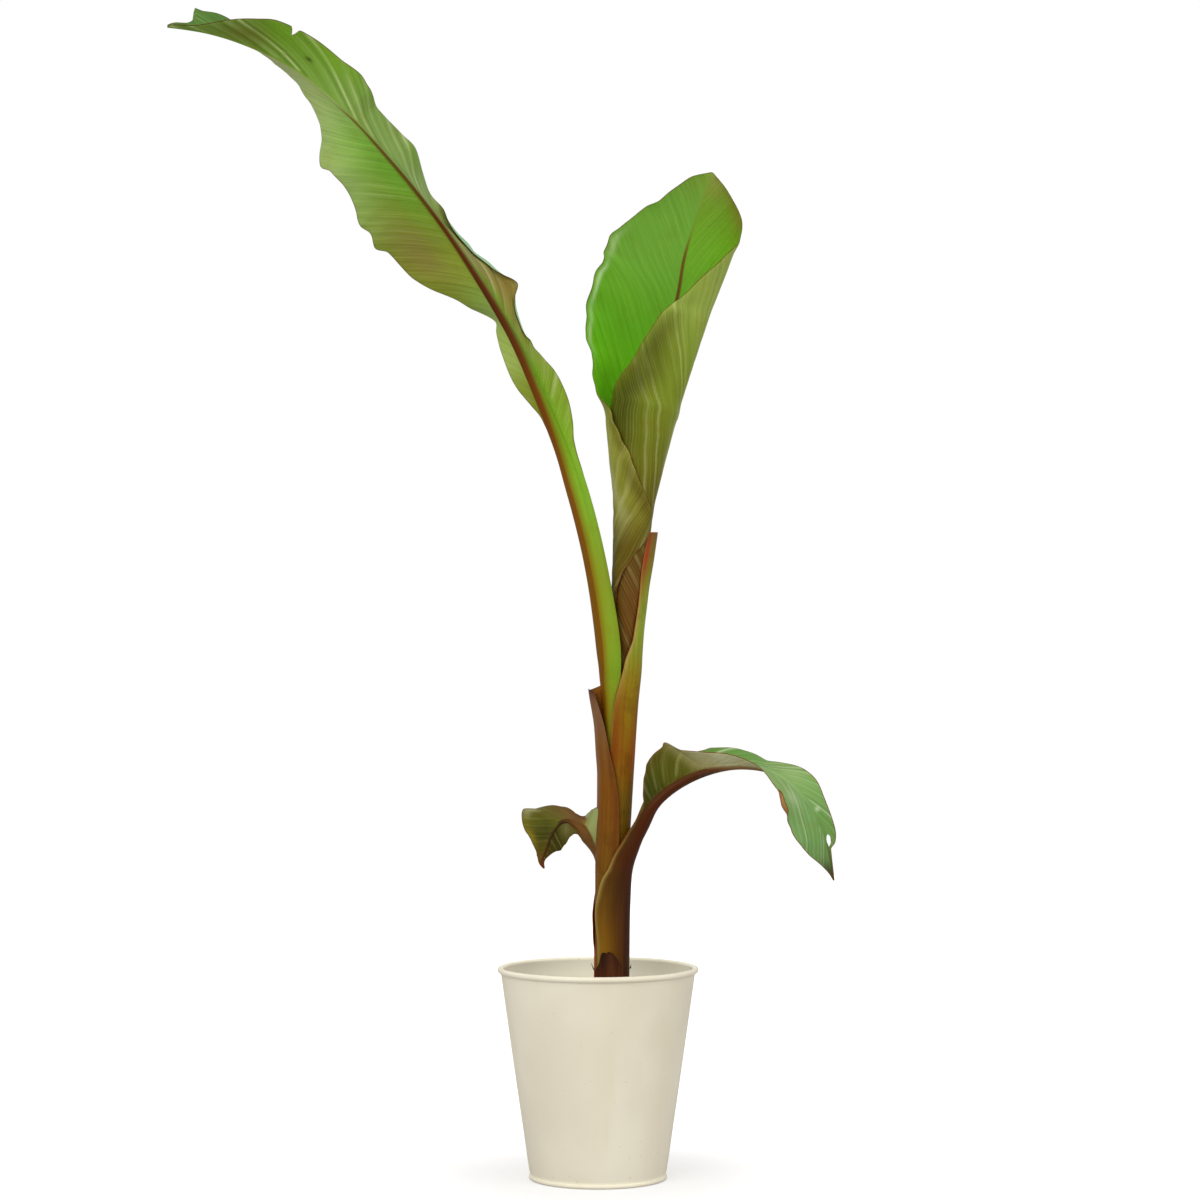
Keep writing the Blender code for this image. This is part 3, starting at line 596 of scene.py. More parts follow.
def leaf_half(leaf, hand, sign, at, frame_at, columns):
    """One half of a leaf: its faces, its maps and its tints, from the midrib to the margin.

    Places run along the midrib: below 0 in the sheath and stalk, 0 at the foot of the blade, 1 at
    the tip. For a leaf, `turn` rolls it about its midrib, `thin` and `keel` are the thickness of
    blade and rib, `rib` is half the rib's width, and `crease` is where the halves start to fold.
    For a half, `fold` and `rim` are its angles at the midrib and the margin, `bend` is what those
    two share, `veins` is how far the veins sweep, and `lean` slants its rows to the tip. `ripple`
    is the margin's swing, spacing and beat, and `pleats` the depth and spacing of the veins'
    pleats with how strongly they show above and below. A nick is a place, its reach and depth,
    and a curl a place, its reach, the share of the width where it starts, and its angle.
    """
    half = leaf[hand]
    middle, forward, normal, side = (part[:, None] for part in frame_at)
    place = at[:, None] * np.ones((1, columns + 1))
    width = curve(half["width"], at)[:, None]
    for spot, reach, depth in half.get("nicks", []):
        width = width - depth * np.exp(-(((at - spot) / reach) ** 2))[:, None]
    share = np.linspace(0, 1, columns + 1)[None, :]
    out = width * share
    shared = half.get("bend", {})
    fold, rim = (np.radians(curve(knots | shared if shared else knots, at))[:, None]
                 for knots in (half.get("fold", 0), half["rim"]))
    lift, spacing, beat = half.get("ripple", (0.0, 0.02, 0.0))
    calm = ease(at, 0.02, 0.12) * (1 - ease(at, 0.93, 1))
    swing = (np.radians(lift) * calm * waves(at, spacing, beat))[:, None]
    crease = curve(leaf["crease"], at)[:, None]

    def slope(share):
        bend = fold + (rim - fold) * share
        bend = bend * ease(width * share, -1.0, crease) + swing * share**3
        for spot, reach, start, amount in half.get("curls", []):
            near = np.exp(-(((at - spot) / reach) ** 4))[:, None]
            bend = bend + np.radians(amount) * near * ease(share, start, 1.0)
        return bend

    bend = slope((share[:, 1:] + share[:, :-1]) / 2)
    step = np.diff(out, axis=1)
    zero = np.zeros((len(at), 1))
    across_run = np.hstack([zero, np.cumsum(step * np.cos(bend), axis=1)])[..., None]
    up_run = np.hstack([zero, np.cumsum(step * np.sin(bend), axis=1)])[..., None]
    lean = np.radians(curve(half.get("lean", 0), at))[:, None]
    upright, along = np.cos(lean)[..., None], (np.sin(lean) * out)[..., None]
    face = middle + upright * (sign * across_run * side + up_run * normal) + along * forward
    bend = slope(share)[..., None]
    below = np.sin(bend) * sign * side - np.cos(bend) * normal

    rib = curve(leaf["rib"], at)[:, None]
    to_edge = width - out
    sweep = np.tan(np.radians(curve(half["veins"], at)))[:, None]
    off = out * np.cos(lean)
    vein = place * leaf["length"] + np.sin(lean) * out - sweep * off * (1 - 0.2 * share)
    grown = ease(at, *leaf["blade"])[:, None]
    height, gap, *contrasts = half["pleats"]
    pleats = waves(vein, gap, beat) * grown * ease(out / rib, 0.8, 2.5)
    face = face - (height * pleats * ease(to_edge, -2, 5))[..., None] * below
    thin = curve(leaf["thin"], at)[:, None]
    keel = curve(leaf["keel"], at)[:, None]
    deep = thin * (0.45 + 0.55 * ease(to_edge, 0, 2.5))
    deep = deep + keel * np.clip(1 - (out / rib) ** 2, 0, 1) ** 0.8
    rear = face + deep[..., None] * below

    maps = [np.stack([vein * 0.1, sign * off * 0.1], axis=-1),
            np.stack([sign * out * 0.1, place * leaf["length"] * 0.1], axis=-1),
            np.stack([to_edge * 0.1, out / rib], axis=-1)]
    blade = (grown * ease(out / rib, 0.75, 1.25))[..., None]
    tints = []
    for face_name, contrast in zip(("upper", "under"), contrasts):
        look = leaf[face_name]
        tones, stripe, cover = (look.get(f"{hand} {part}", look.get(part))
                                for part in ("blade", "rib", "cover"))
        base = tinted(tones, place)
        contrast = curve(contrast, place)[..., None]
        base = base * (1 - 0.4 * contrast * np.clip(-pleats, 0, 1)[..., None])
        crest = contrast * (np.clip(1.3 * pleats, 0, 1) ** 2)[..., None]
        base = base + (np.array(rgb(*look["ridge"])) - base) * crest
        base = marked(base, leaf["marks"].get((face_name, hand), []), place, share)
        cover = (1 - ease(out / rib, *cover))[..., None]
        tints.append(base * (1 - cover) + tinted(stripe, place) * cover)
    return (face, rear, *maps, blade, *tints)


def leaf_sheet(name, leaf, rows, columns):
    """The whole sheet of a leaf, with its maps of veins, fibres and edge and its tints."""
    at = np.linspace(leaf["start"], 1.0, rows)
    frame_at = leaf_frame(leaf, at)
    left = leaf_half(leaf, "left", 1.0, at, frame_at, columns)
    right = leaf_half(leaf, "right", -1.0, at, frame_at, columns)
    parts = [np.hstack([a[:, :0:-1], b]) for a, b in zip(left, right)]
    face, rear, veins, fibres, rim, blade, upper, under = parts
    depth = curve(leaf["thin"], at) + curve(leaf["keel"], at)
    rear[:, columns] = frame_at[0] - frame_at[2] * depth[:, None]
    face[:, columns] = frame_at[0]
    gone = None
    if "holes" in leaf:
        spot = at[:, None] * np.ones((1, 2 * columns + 1))
        reach = np.linspace(-1, 1, 2 * columns + 1)[None, :] * np.ones((rows, 1))
        gone = np.zeros((rows, 2 * columns + 1), bool)
        for place, share, long, wide, slant in leaf["holes"]:
            shift = (reach - share - slant * (spot - place)) / wide
            gone |= shift**2 + ((spot - place) / long) ** 2 < 1
    return sheet(name, face, rear, {"veins": veins, "fibres": fibres, "rim": rim}, (upper, under),
                 blade, gone)


def leaf_finish(name, rim_colour, rim_width, gloss, light=(196, 206, 110), streaks=0.5,
                lines=0.3, spacing=0.5):
    """A blade: uneven streaks along the cross veins, fine pale veins, and fibres on the rib."""
    made = Finish(name, Specular_IOR_Level=0.09)
    tint = made.node("Attribute", attribute_name="tint")
    blade = made.node("Attribute", attribute_name="blade", result=2)
    veins, fibres = made.along("veins"), made.along("fibres")
    broad = made.cloud(made.stretch(veins, (1.5, 0.10, 1.0)), 1.0, 3.0, 0.55)
    fine = made.cloud(made.stretch(veins, (9.0, 0.22, 1.0)), 1.0, 3.0, 0.6)
    grain = made.cloud(made.stretch(fibres, (12.0, 0.25, 1.0)), 1.0, 4.0, 0.6)
    cord = made.cloud(made.stretch(fibres, (3.0, 0.10, 1.0)), 1.0, 3.0)
    cross = made.sum("ADD", made.sum("MULTIPLY", broad, 0.55), made.sum("MULTIPLY", fine, 0.45))
    long = made.sum("ADD", made.sum("MULTIPLY", cord, 0.55), made.sum("MULTIPLY", grain, 0.45))
    long = made.sum("ADD", made.sum("MULTIPLY", long, 0.45), 0.275)
    shade = made.node("Mix", {0: blade, 2: long, 3: cross}, data_type="FLOAT")
    deep = made.mix(1.0, tint, (0.62, 0.66, 0.5), "MULTIPLY")
    body = made.mix(made.span(shade, 0.5, 0.33, 0.0, streaks), tint, deep)
    pale = made.mix(0.25, made.mix(1.0, body, (1.3, 1.3, 1.2), "MULTIPLY"), rgb(*light))
    body = made.mix(made.span(shade, 0.5, 0.68, 0.0, 0.7 * streaks), body, pale)
    wander = made.cloud(made.stretch(veins, (0.5, 0.3, 1.0)), 1.0, 2.0)
    line = made.node("SeparateXYZ", {"Vector": veins})
    line = made.sum("MULTIPLY", line, math.tau / spacing)
    line = made.sum("ADD", line, made.sum("MULTIPLY", wander, 5.0))
    line = made.span(made.sum("SINE", line, 0.0), 0.35, 1.0)
    line = made.sum("MULTIPLY", line, made.span(fine, 0.36, 0.62))
    line = made.sum("MULTIPLY", line, blade)
    body = made.mix(made.sum("MULTIPLY", line, lines), body, pale)
    spots = made.cloud(made.place(), 30.0, 4.0, 0.6)
    warm = made.mix(1.0, body, (0.95, 0.74, 0.5), "MULTIPLY")
    body = made.mix(made.span(spots, 0.5, 0.72, 0.0, 0.4), body, warm)
    rim = made.node("SeparateXYZ", {"Vector": made.along("rim")})
    edge = made.span(rim, 0.35 * rim_width, rim_width, 1.0, 0.0)
    made.colour(made.mix(edge, body, rgb(*rim_colour)))
    made.gloss(shade, *gloss)
    made.relief(made.sum("ADD", shade, made.sum("MULTIPLY", line, 0.25)), 0.0003)
    return made


# The tall leaf: its stalk leaves the stem on the left, its blade turns its underside to the front
# and bends over to the left, the far half folded back and the edges curled.

TALL_LEAF = {
    "start": -0.5, "foot": 9, "length": 640, "blade": (-0.03, 0.06),
    "midrib": [
        (9, -5.5, 430), (10.4, -6.2, 462), (11.2, -6.8, 500), (9.2, -11.2, 522), (8.4, -17, 542),
        (6.8, -19, 562), (3.2, -19, 591), (-2.1, -20.4, 625), (-19.3, -23.4, 703), (-33, -23, 749),
        (-62, -29, 822), (-93, -34, 889), (-127, -38, 944), (-173, -44, 1010), (-216, -50, 1063),
        (-262, -57, 1112), (-304, -64, 1148), (-356, -73, 1175.5), (-401, -82, 1189),
        (-425, -86, 1192.5), (-441, -89, 1194),
    ],
    "turn": {
        -0.5: 65, -0.4: 50, -0.3: 29, -0.1: 29, 0: 34, 0.12: 5, 0.29: -8, 0.46: -18, 0.57: -8,
        0.68: 20, 0.79: 55, 0.9: 78, 1: 85,
    },
    "thin": {-0.5: 2.4, -0.4: 4.2, -0.05: 4.2, 0.04: 2.4, 0.14: 1, 1: 0.8},
    "keel": {-0.5: 0.2, -0.3: 0.6, 0: 3, 0.12: 4.2, 0.3: 3.2, 0.5: 2, 0.7: 1.1, 1: 0.3},
    "rib": {-0.5: 7, -0.05: 7.5, 0.12: 5.6, 0.3: 3.3, 0.5: 2.1, 0.7: 1.2, 1: 0.7},
    "crease": {-0.5: 6, 0: 5, 0.3: 3, 1: 1.5},
    "right": {
        "veins": {-0.5: 50, 0.5: 48, 0.7: 55, 1: 68},
        "width": {
            -0.5: 12, -0.39: 13.5, -0.3: 16, -0.2: 14.1, -0.07: 13, 0: 12, 0.05: 10, 0.08: 10,
            0.11: 16.5, 0.14: 24.5, 0.17: 27.5, 0.21: 26.5, 0.25: 28, 0.29: 35, 0.32: 38, 0.36: 50,
            0.4: 59, 0.455: 62, 0.475: 70, 0.5: 64.5, 0.52: 68, 0.545: 64, 0.57: 61, 0.6: 57,
            0.625: 58, 0.645: 66, 0.662: 61, 0.68: 49, 0.7: 41, 0.74: 40, 0.78: 38, 0.81: 36,
            0.9: 33, 0.94: 28.5, 0.953: 31, 0.9575: 14, 0.97: 9, 0.985: 8, 0.994: 6, 1: 3,
        },
        "fold": {-0.5: 0, -0.04: 0}, "rim": {-0.5: 70, -0.39: 110, -0.3: 95, -0.04: 95},
        "bend": {
            0.05: 38, 0.17: 46, 0.22: 56, 0.245: 72, 0.26: 84, 0.3: 62, 0.38: 35, 0.52: 23,
            0.57: 33, 0.62: 20, 0.73: 30, 0.85: 26, 0.93: 66, 1: 60,
        },
        "lean": {-0.5: 0, 0.9: 0, 0.95: 10, 1: 0}, "ripple": (6, 0.055, 0.4),
        "pleats": (0.35, 12, 0.3, {0: 0.15, 0.7: 0.15, 0.85: 0.3, 1: 0.3}),
    },
    "left": {
        "veins": {-0.5: 50, 0.2: 55, 0.5: 66, 0.8: 72, 1: 78},
        "width": {
            -0.5: 12, -0.39: 14, -0.3: 17, -0.2: 15.5, -0.07: 14.5, 0: 14, 0.03: 16, 0.06: 23,
            0.1: 30, 0.14: 32, 0.18: 31, 0.2: 27, 0.25: 28, 0.28: 37, 0.297: 49, 0.32: 48, 0.37: 54,
            0.49: 59.5, 0.52: 58.5, 0.545: 54.5, 0.6: 49, 0.63: 43.5, 0.68: 39.5, 0.7: 41, 0.74: 37,
            0.79: 39, 0.84: 40, 0.87: 35, 0.9: 27, 0.92: 20, 0.94: 12.6, 0.96: 7, 0.98: 6, 1: 3,
        },
        "fold": {
            -0.5: 0, -0.04: 0, 0.02: 46, 0.05: 44, 0.12: 38, 0.21: 61, 0.28: 44, 0.34: 56, 0.38: 66,
            0.46: 70, 0.52: 62, 0.57: 50, 0.6: 55, 0.65: 60, 0.68: 44, 0.79: 38, 0.9: 33, 1: 24,
        },
        "rim": {
            -0.5: 70, -0.39: 110, -0.3: 95, -0.04: 95, 0.02: 46, 0.05: 44, 0.12: 38, 0.21: 61,
            0.28: 40, 0.34: 52, 0.38: 62, 0.46: 66, 0.52: 56, 0.57: 44, 0.6: 50, 0.65: 57, 0.68: 42,
            0.79: 36, 0.9: 33, 1: 24,
        },
        "ripple": (3, 0.06, 2.1), "pleats": (0.8, 26, 0.3, {0: 0.3, 0.4: 0.4, 0.6: 0.75, 1: 0.75}),
        "nicks": [(0.813, 0.0035, 9)],
        "curls": [(0.385, 0.085, 0.76, -235), (0.245, 0.04, 0.76, -225)],
    },
    "upper": {
        "blade": {
            -0.5: (120, 150, 60), 0: (110, 160, 50), 0.3: (110, 148, 84), 0.6: (84, 138, 50),
            1: (78, 112, 48),
        },
        "rib": {-0.5: (130, 150, 60), 0: (140, 165, 70), 1: (150, 170, 90)}, "cover": (0.7, 1.3),
        "ridge": (150, 182, 110),
    },
    "under": {
        "left blade": {
            -0.5: (126, 100, 20), -0.42: (126, 120, 22), -0.34: (124, 158, 34),
            -0.2: (130, 150, 34), -0.05: (124, 170, 42), 0.08: (124, 156, 40), 0.2: (128, 146, 52),
            0.3: (134, 120, 54), 0.42: (128, 138, 70), 0.52: (124, 152, 78), 0.68: (114, 148, 62),
            0.8: (102, 138, 42), 0.9: (100, 128, 44), 1: (104, 132, 56),
        },
        "right blade": {
            -0.5: (130, 70, 8), -0.42: (124, 76, 6), -0.3: (116, 78, 4), -0.1: (124, 82, 8),
            0.02: (122, 118, 18), 0.08: (126, 132, 24), 0.14: (136, 152, 50), 0.2: (160, 182, 88),
            0.3: (134, 162, 66), 0.37: (128, 142, 40), 0.45: (110, 124, 30), 0.52: (104, 130, 36),
            0.6: (122, 164, 62), 0.68: (150, 182, 98), 0.74: (168, 190, 114), 0.8: (170, 184, 120),
            0.9: (146, 150, 90), 1: (104, 118, 50),
        },
        "left rib": {
            -0.5: (126, 86, 10), -0.3: (132, 102, 12), -0.05: (122, 96, 10), 0.08: (106, 74, 2),
            0.3: (58, 34, 1), 0.6: (78, 38, 4), 0.66: (92, 54, 14), 0.71: (122, 142, 66),
            1: (104, 124, 50),
        },
        "right rib": {
            -0.5: (132, 78, 10), -0.3: (118, 78, 4), -0.05: (122, 76, 6), 0.08: (112, 62, 2),
            0.3: (80, 36, 1), 0.6: (88, 44, 6), 0.66: (100, 60, 18), 0.71: (146, 158, 92),
            1: (110, 124, 54),
        },
        "left cover": (-0.1, 0.7), "right cover": (0.5, 1.2), "ridge": (190, 200, 142),
    },
    "marks": {
        ("upper", "left"): [
            # Pale blue-green marks on the curled margins: partly the upper face's own bloom, partly
            # painted light that lifts the shade in the curl.
            (0.385, 0.92, 0.1, 0.2, (150, 192, 156), 0.9),
            (0.245, 0.92, 0.06, 0.2, (150, 192, 156), 0.9),
        ],
        ("under", "right"): [
            (0.42, 0.6, 0.07, 0.35, (128, 108, 62), 0.55),
            (0.56, 0.12, 0.12, 0.22, (92, 146, 34), 0.75),
            (0.62, 0.95, 0.1, 0.35, (152, 170, 108), 0.6),
            (0.33, 0.9, 0.06, 0.2, (124, 128, 36), 0.5),
            (-0.42, 0.25, 0.03, 0.4, (150, 88, 14), 0.6),
            (-0.3, 0.15, 0.03, 0.3, (104, 60, 6), 0.6), (-0.22, 0.3, 0.04, 0.4, (150, 92, 16), 0.6),
            (-0.12, 0.1, 0.03, 0.3, (112, 62, 6), 0.6),
        ],
        ("under", "left"): [
            (0.55, 0.8, 0.03, 0.3, (104, 146, 40), 0.6),
            (0.74, 0.85, 0.05, 0.3, (106, 150, 30), 0.8),
            (0.83, 0.8, 0.03, 0.4, (98, 144, 24), 0.8), (0.88, 0.4, 0.04, 0.3, (94, 96, 20), 0.7),
            (0.774, 0.45, 0.006, 0.05, (50, 60, 10), 0.9),
            (0.16, 0.18, 0.14, 0.16, (96, 148, 14), 0.9),
            (0.36, 0.14, 0.1, 0.09, (92, 134, 14), 0.9),
            (0.52, 0.1, 0.08, 0.06, (92, 130, 30), 0.7),
            (0.02, 0.35, 0.12, 0.3, (112, 160, 24), 0.7),
            (-0.25, 0, 0.22, 0.3, (132, 124, 12), 0.6),
        ],
    },
}
tall_leaf = leaf_sheet("tall_leaf", TALL_LEAF, rows=500, columns=44)
tall_skin = leaf_finish("tall_leaf_skin", rim_colour=(84, 36, 12), rim_width=0.09,
                        gloss=(0.42, 0.56))
finished(tall_leaf, tall_skin, "leaf", "tall_leaf_stalk", "tall_leaf_lower", "tall_leaf_upper")


# The young leaf: still rolled into a tube below, where the left half lies over the right one, and
# opening above, where the right half crosses in front. Fresh green inside, painted brighter deep in
# the roll as painted light shining through the blade; olive outside.

ROLLED_LEAF = {
    "start": 0, "foot": 0, "length": 610, "blade": (0, 0.02),
    "midrib": [
        (25, 5.5, 457), (26.3, 7.8, 502), (29.5, 10, 554), (31.8, 12.5, 607), (35.3, 14, 670),
        (37.4, 16.5, 702), (39.8, 20.5, 734), (42.4, 24.8, 766), (46.5, 28.6, 798),
        (53.2, 31.2, 830), (63, 32.4, 862), (73.5, 33.3, 894), (83, 34.8, 924), (92, 39, 972),
        (101.5, 43.5, 1004), (112, 47, 1034.5), (121.5, 49, 1062),
    ],
    "turn": 180, "thin": {0: 1.2, 0.2: 0.9, 1: 0.8}, "keel": {0: 2.5, 0.4: 2, 0.8: 1.3, 1: 0.4},
    "rib": {0: 4, 0.4: 3.4, 0.8: 2, 1: 1}, "crease": 0.6,
    "left": {
        "veins": {0: 62, 0.5: 60, 1: 56},
        "width": {
            0: 3.5, 0.076: 12.6, 0.161: 23, 0.2: 28, 0.246: 38, 0.28: 46, 0.32: 60, 0.35: 79,
            0.38: 91, 0.4: 86.5, 0.42: 82, 0.44: 81.6, 0.46: 83.6, 0.48: 84.4, 0.5: 82.4, 0.52: 83,
            0.54: 81, 0.56: 83.5, 0.58: 84.5, 0.605: 82, 0.62: 80, 0.637: 82, 0.66: 93, 0.7: 97.5,
            0.73: 102, 0.75: 100, 0.77: 95.5, 0.8: 92, 0.82: 90, 0.84: 88.5, 0.86: 78, 0.88: 67.5,
            0.905: 56.5, 0.92: 45.5, 0.94: 38, 0.96: 29.5, 0.98: 20, 1: 1,
        },
        "lean": {0: 0, 0.7: -3, 0.78: 8, 0.86: -2, 1: 0},
        "rim": {
            0: 50, 0.076: 60, 0.161: 90, 0.2: 104, 0.246: 130, 0.28: 150, 0.32: 190, 0.35: 238,
            0.38: 262, 0.4: 236, 0.42: 209, 0.44: 190, 0.46: 177, 0.48: 163.5, 0.5: 149,
            0.52: 139.7, 0.54: 126, 0.56: 113, 0.575: 99, 0.608: 74, 0.662: 56, 0.716: 50,
            0.768: 45, 0.815: 40, 0.853: 35, 0.9: 30, 1: 25,
        },
        "ripple": (8, 0.06, 0.9), "pleats": (0.3, 20, 0.15, {0: 0.15, 0.4: 0.3, 1: 0.4}),
    },
    "right": {
        "veins": {0: 58, 0.4: 60, 0.9: 67, 1: 66},
        "width": {
            0: 8, 0.076: 24, 0.16: 45, 0.25: 69, 0.3: 77, 0.348: 83, 0.399: 94.5, 0.45: 119.5,
            0.5: 141.5, 0.54: 158.5, 0.56: 166.5, 0.58: 159, 0.6: 151, 0.62: 144.5, 0.66: 137.5,
            0.7: 130.5, 0.74: 125, 0.764: 121, 0.81: 113, 0.85: 91, 0.88: 78, 0.9: 71, 0.92: 62.5,
            0.94: 50.5, 0.96: 36.5, 0.98: 21, 1: 1,
        },
        "lean": {0: 0, 0.7: 3, 0.78: -7, 0.86: 2, 1: 0},
        "rim": {
            0: 200, 0.16: 262, 0.3: 262, 0.45: 262, 0.5: 258, 0.54: 262, 0.56: 262, 0.58: 250,
            0.6: 234, 0.62: 222, 0.66: 212, 0.7: 201, 0.74: 192, 0.764: 183, 0.81: 148, 0.85: 106,
            0.9: 80, 1: 45,
        },
        "ripple": (5, 0.07, 1.6),
        "pleats": (0.3, 15, 0.1, {0: 0.12, 0.45: 0.25, 0.62: 0.34, 1: 0.5}),
    },
    "upper": {
        # The left half's inner face is painted far brighter green from 0.5 to 0.72: painted light
        # that stands in for light shining through the thin blade deep in the roll, where it lies in
        # shade.
        "left blade": {
            0: (96, 150, 30), 0.5: (132, 222, 30), 0.62: (120, 206, 30), 0.72: (104, 176, 34),
            0.82: (104, 160, 46), 0.92: (100, 150, 46), 1: (110, 138, 44),
        },
        "right blade": {
            0: (96, 150, 30), 0.5: (84, 156, 18), 0.7: (94, 162, 28), 0.85: (102, 160, 26),
            0.93: (100, 142, 24), 1: (126, 130, 56),
        },
        "rib": {
            0: (120, 160, 60), 0.6: (96, 110, 30), 0.75: (100, 66, 12), 0.84: (104, 76, 18),
            0.9: (108, 140, 40), 1: (120, 140, 50),
        },
        "cover": (0.6, 1), "ridge": (130, 182, 66),
    },
    "under": {
        "left blade": {
            0: (96, 62, 8), 0.2: (92, 62, 8), 0.33: (94, 78, 10), 0.4: (124, 122, 34),
            0.5: (146, 148, 56), 0.7: (126, 140, 50), 1: (120, 140, 44),
        },
        "right blade": {
            0: (92, 58, 6), 0.25: (88, 58, 8), 0.35: (86, 70, 8), 0.45: (106, 106, 20),
            0.55: (116, 130, 28), 0.65: (126, 146, 38), 0.78: (146, 168, 70), 0.9: (138, 154, 60),
            1: (126, 136, 52),
        },
        "rib": {0: (120, 110, 50), 0.5: (130, 130, 60), 1: (130, 140, 60)}, "cover": (0.8, 1.3),
        "ridge": (206, 208, 142),
    },
    "marks": {
        ("under", "right"): [
            (0.55, 0.84, 0.12, 0.15, (62, 62, 2), 0.9), (0.66, 0.91, 0.09, 0.1, (76, 80, 4), 0.85),
            (0.75, 0.36, 0.14, 0.07, (206, 214, 166), 0.6),
            (0.52, 0.33, 0.08, 0.07, (190, 192, 136), 0.6),
            (0.22, 0.5, 0.1, 0.4, (104, 66, 20), 0.8),
        ],
        ("under", "left"): [
            (0.45, 0.56, 0.11, 0.09, (172, 172, 116), 0.6),
            (0.42, 0.92, 0.07, 0.12, (84, 72, 8), 0.75),
            (0.52, 0.93, 0.04, 0.08, (92, 88, 20), 0.6), (0.3, 0.55, 0.05, 0.2, (82, 78, 16), 0.7),
        ],
        # Painted highlight: pale marks just inside the left half's curled margin stand for its
        # gloss.
        ("upper", "left"): [
            (0.67, 0.92, 0.03, 0.035, (206, 232, 170), 0.6),
            (0.745, 0.93, 0.035, 0.03, (206, 232, 170), 0.7),
            (0.83, 0.91, 0.025, 0.05, (176, 204, 140), 0.6),
        ],
        ("upper", "right"): [(0.93, 0.9, 0.04, 0.2, (126, 110, 40), 0.6)],
    },
}
rolled_leaf_piece = leaf_sheet("rolled_young_leaf", ROLLED_LEAF, rows=270, columns=86)
young_skin = leaf_finish("young_leaf_skin", rim_colour=(100, 44, 16), rim_width=0.10,
                         gloss=(0.4, 0.54), spacing=0.42, lines=0.4)
finished(rolled_leaf_piece, young_skin, "young_leaf", "rolled_leaf")


# The arching leaf: its red-brown sheath wraps the foot of the stem, its stalk leaves to the right,
# and its blade arches over and hangs down, the near half folded up at first.

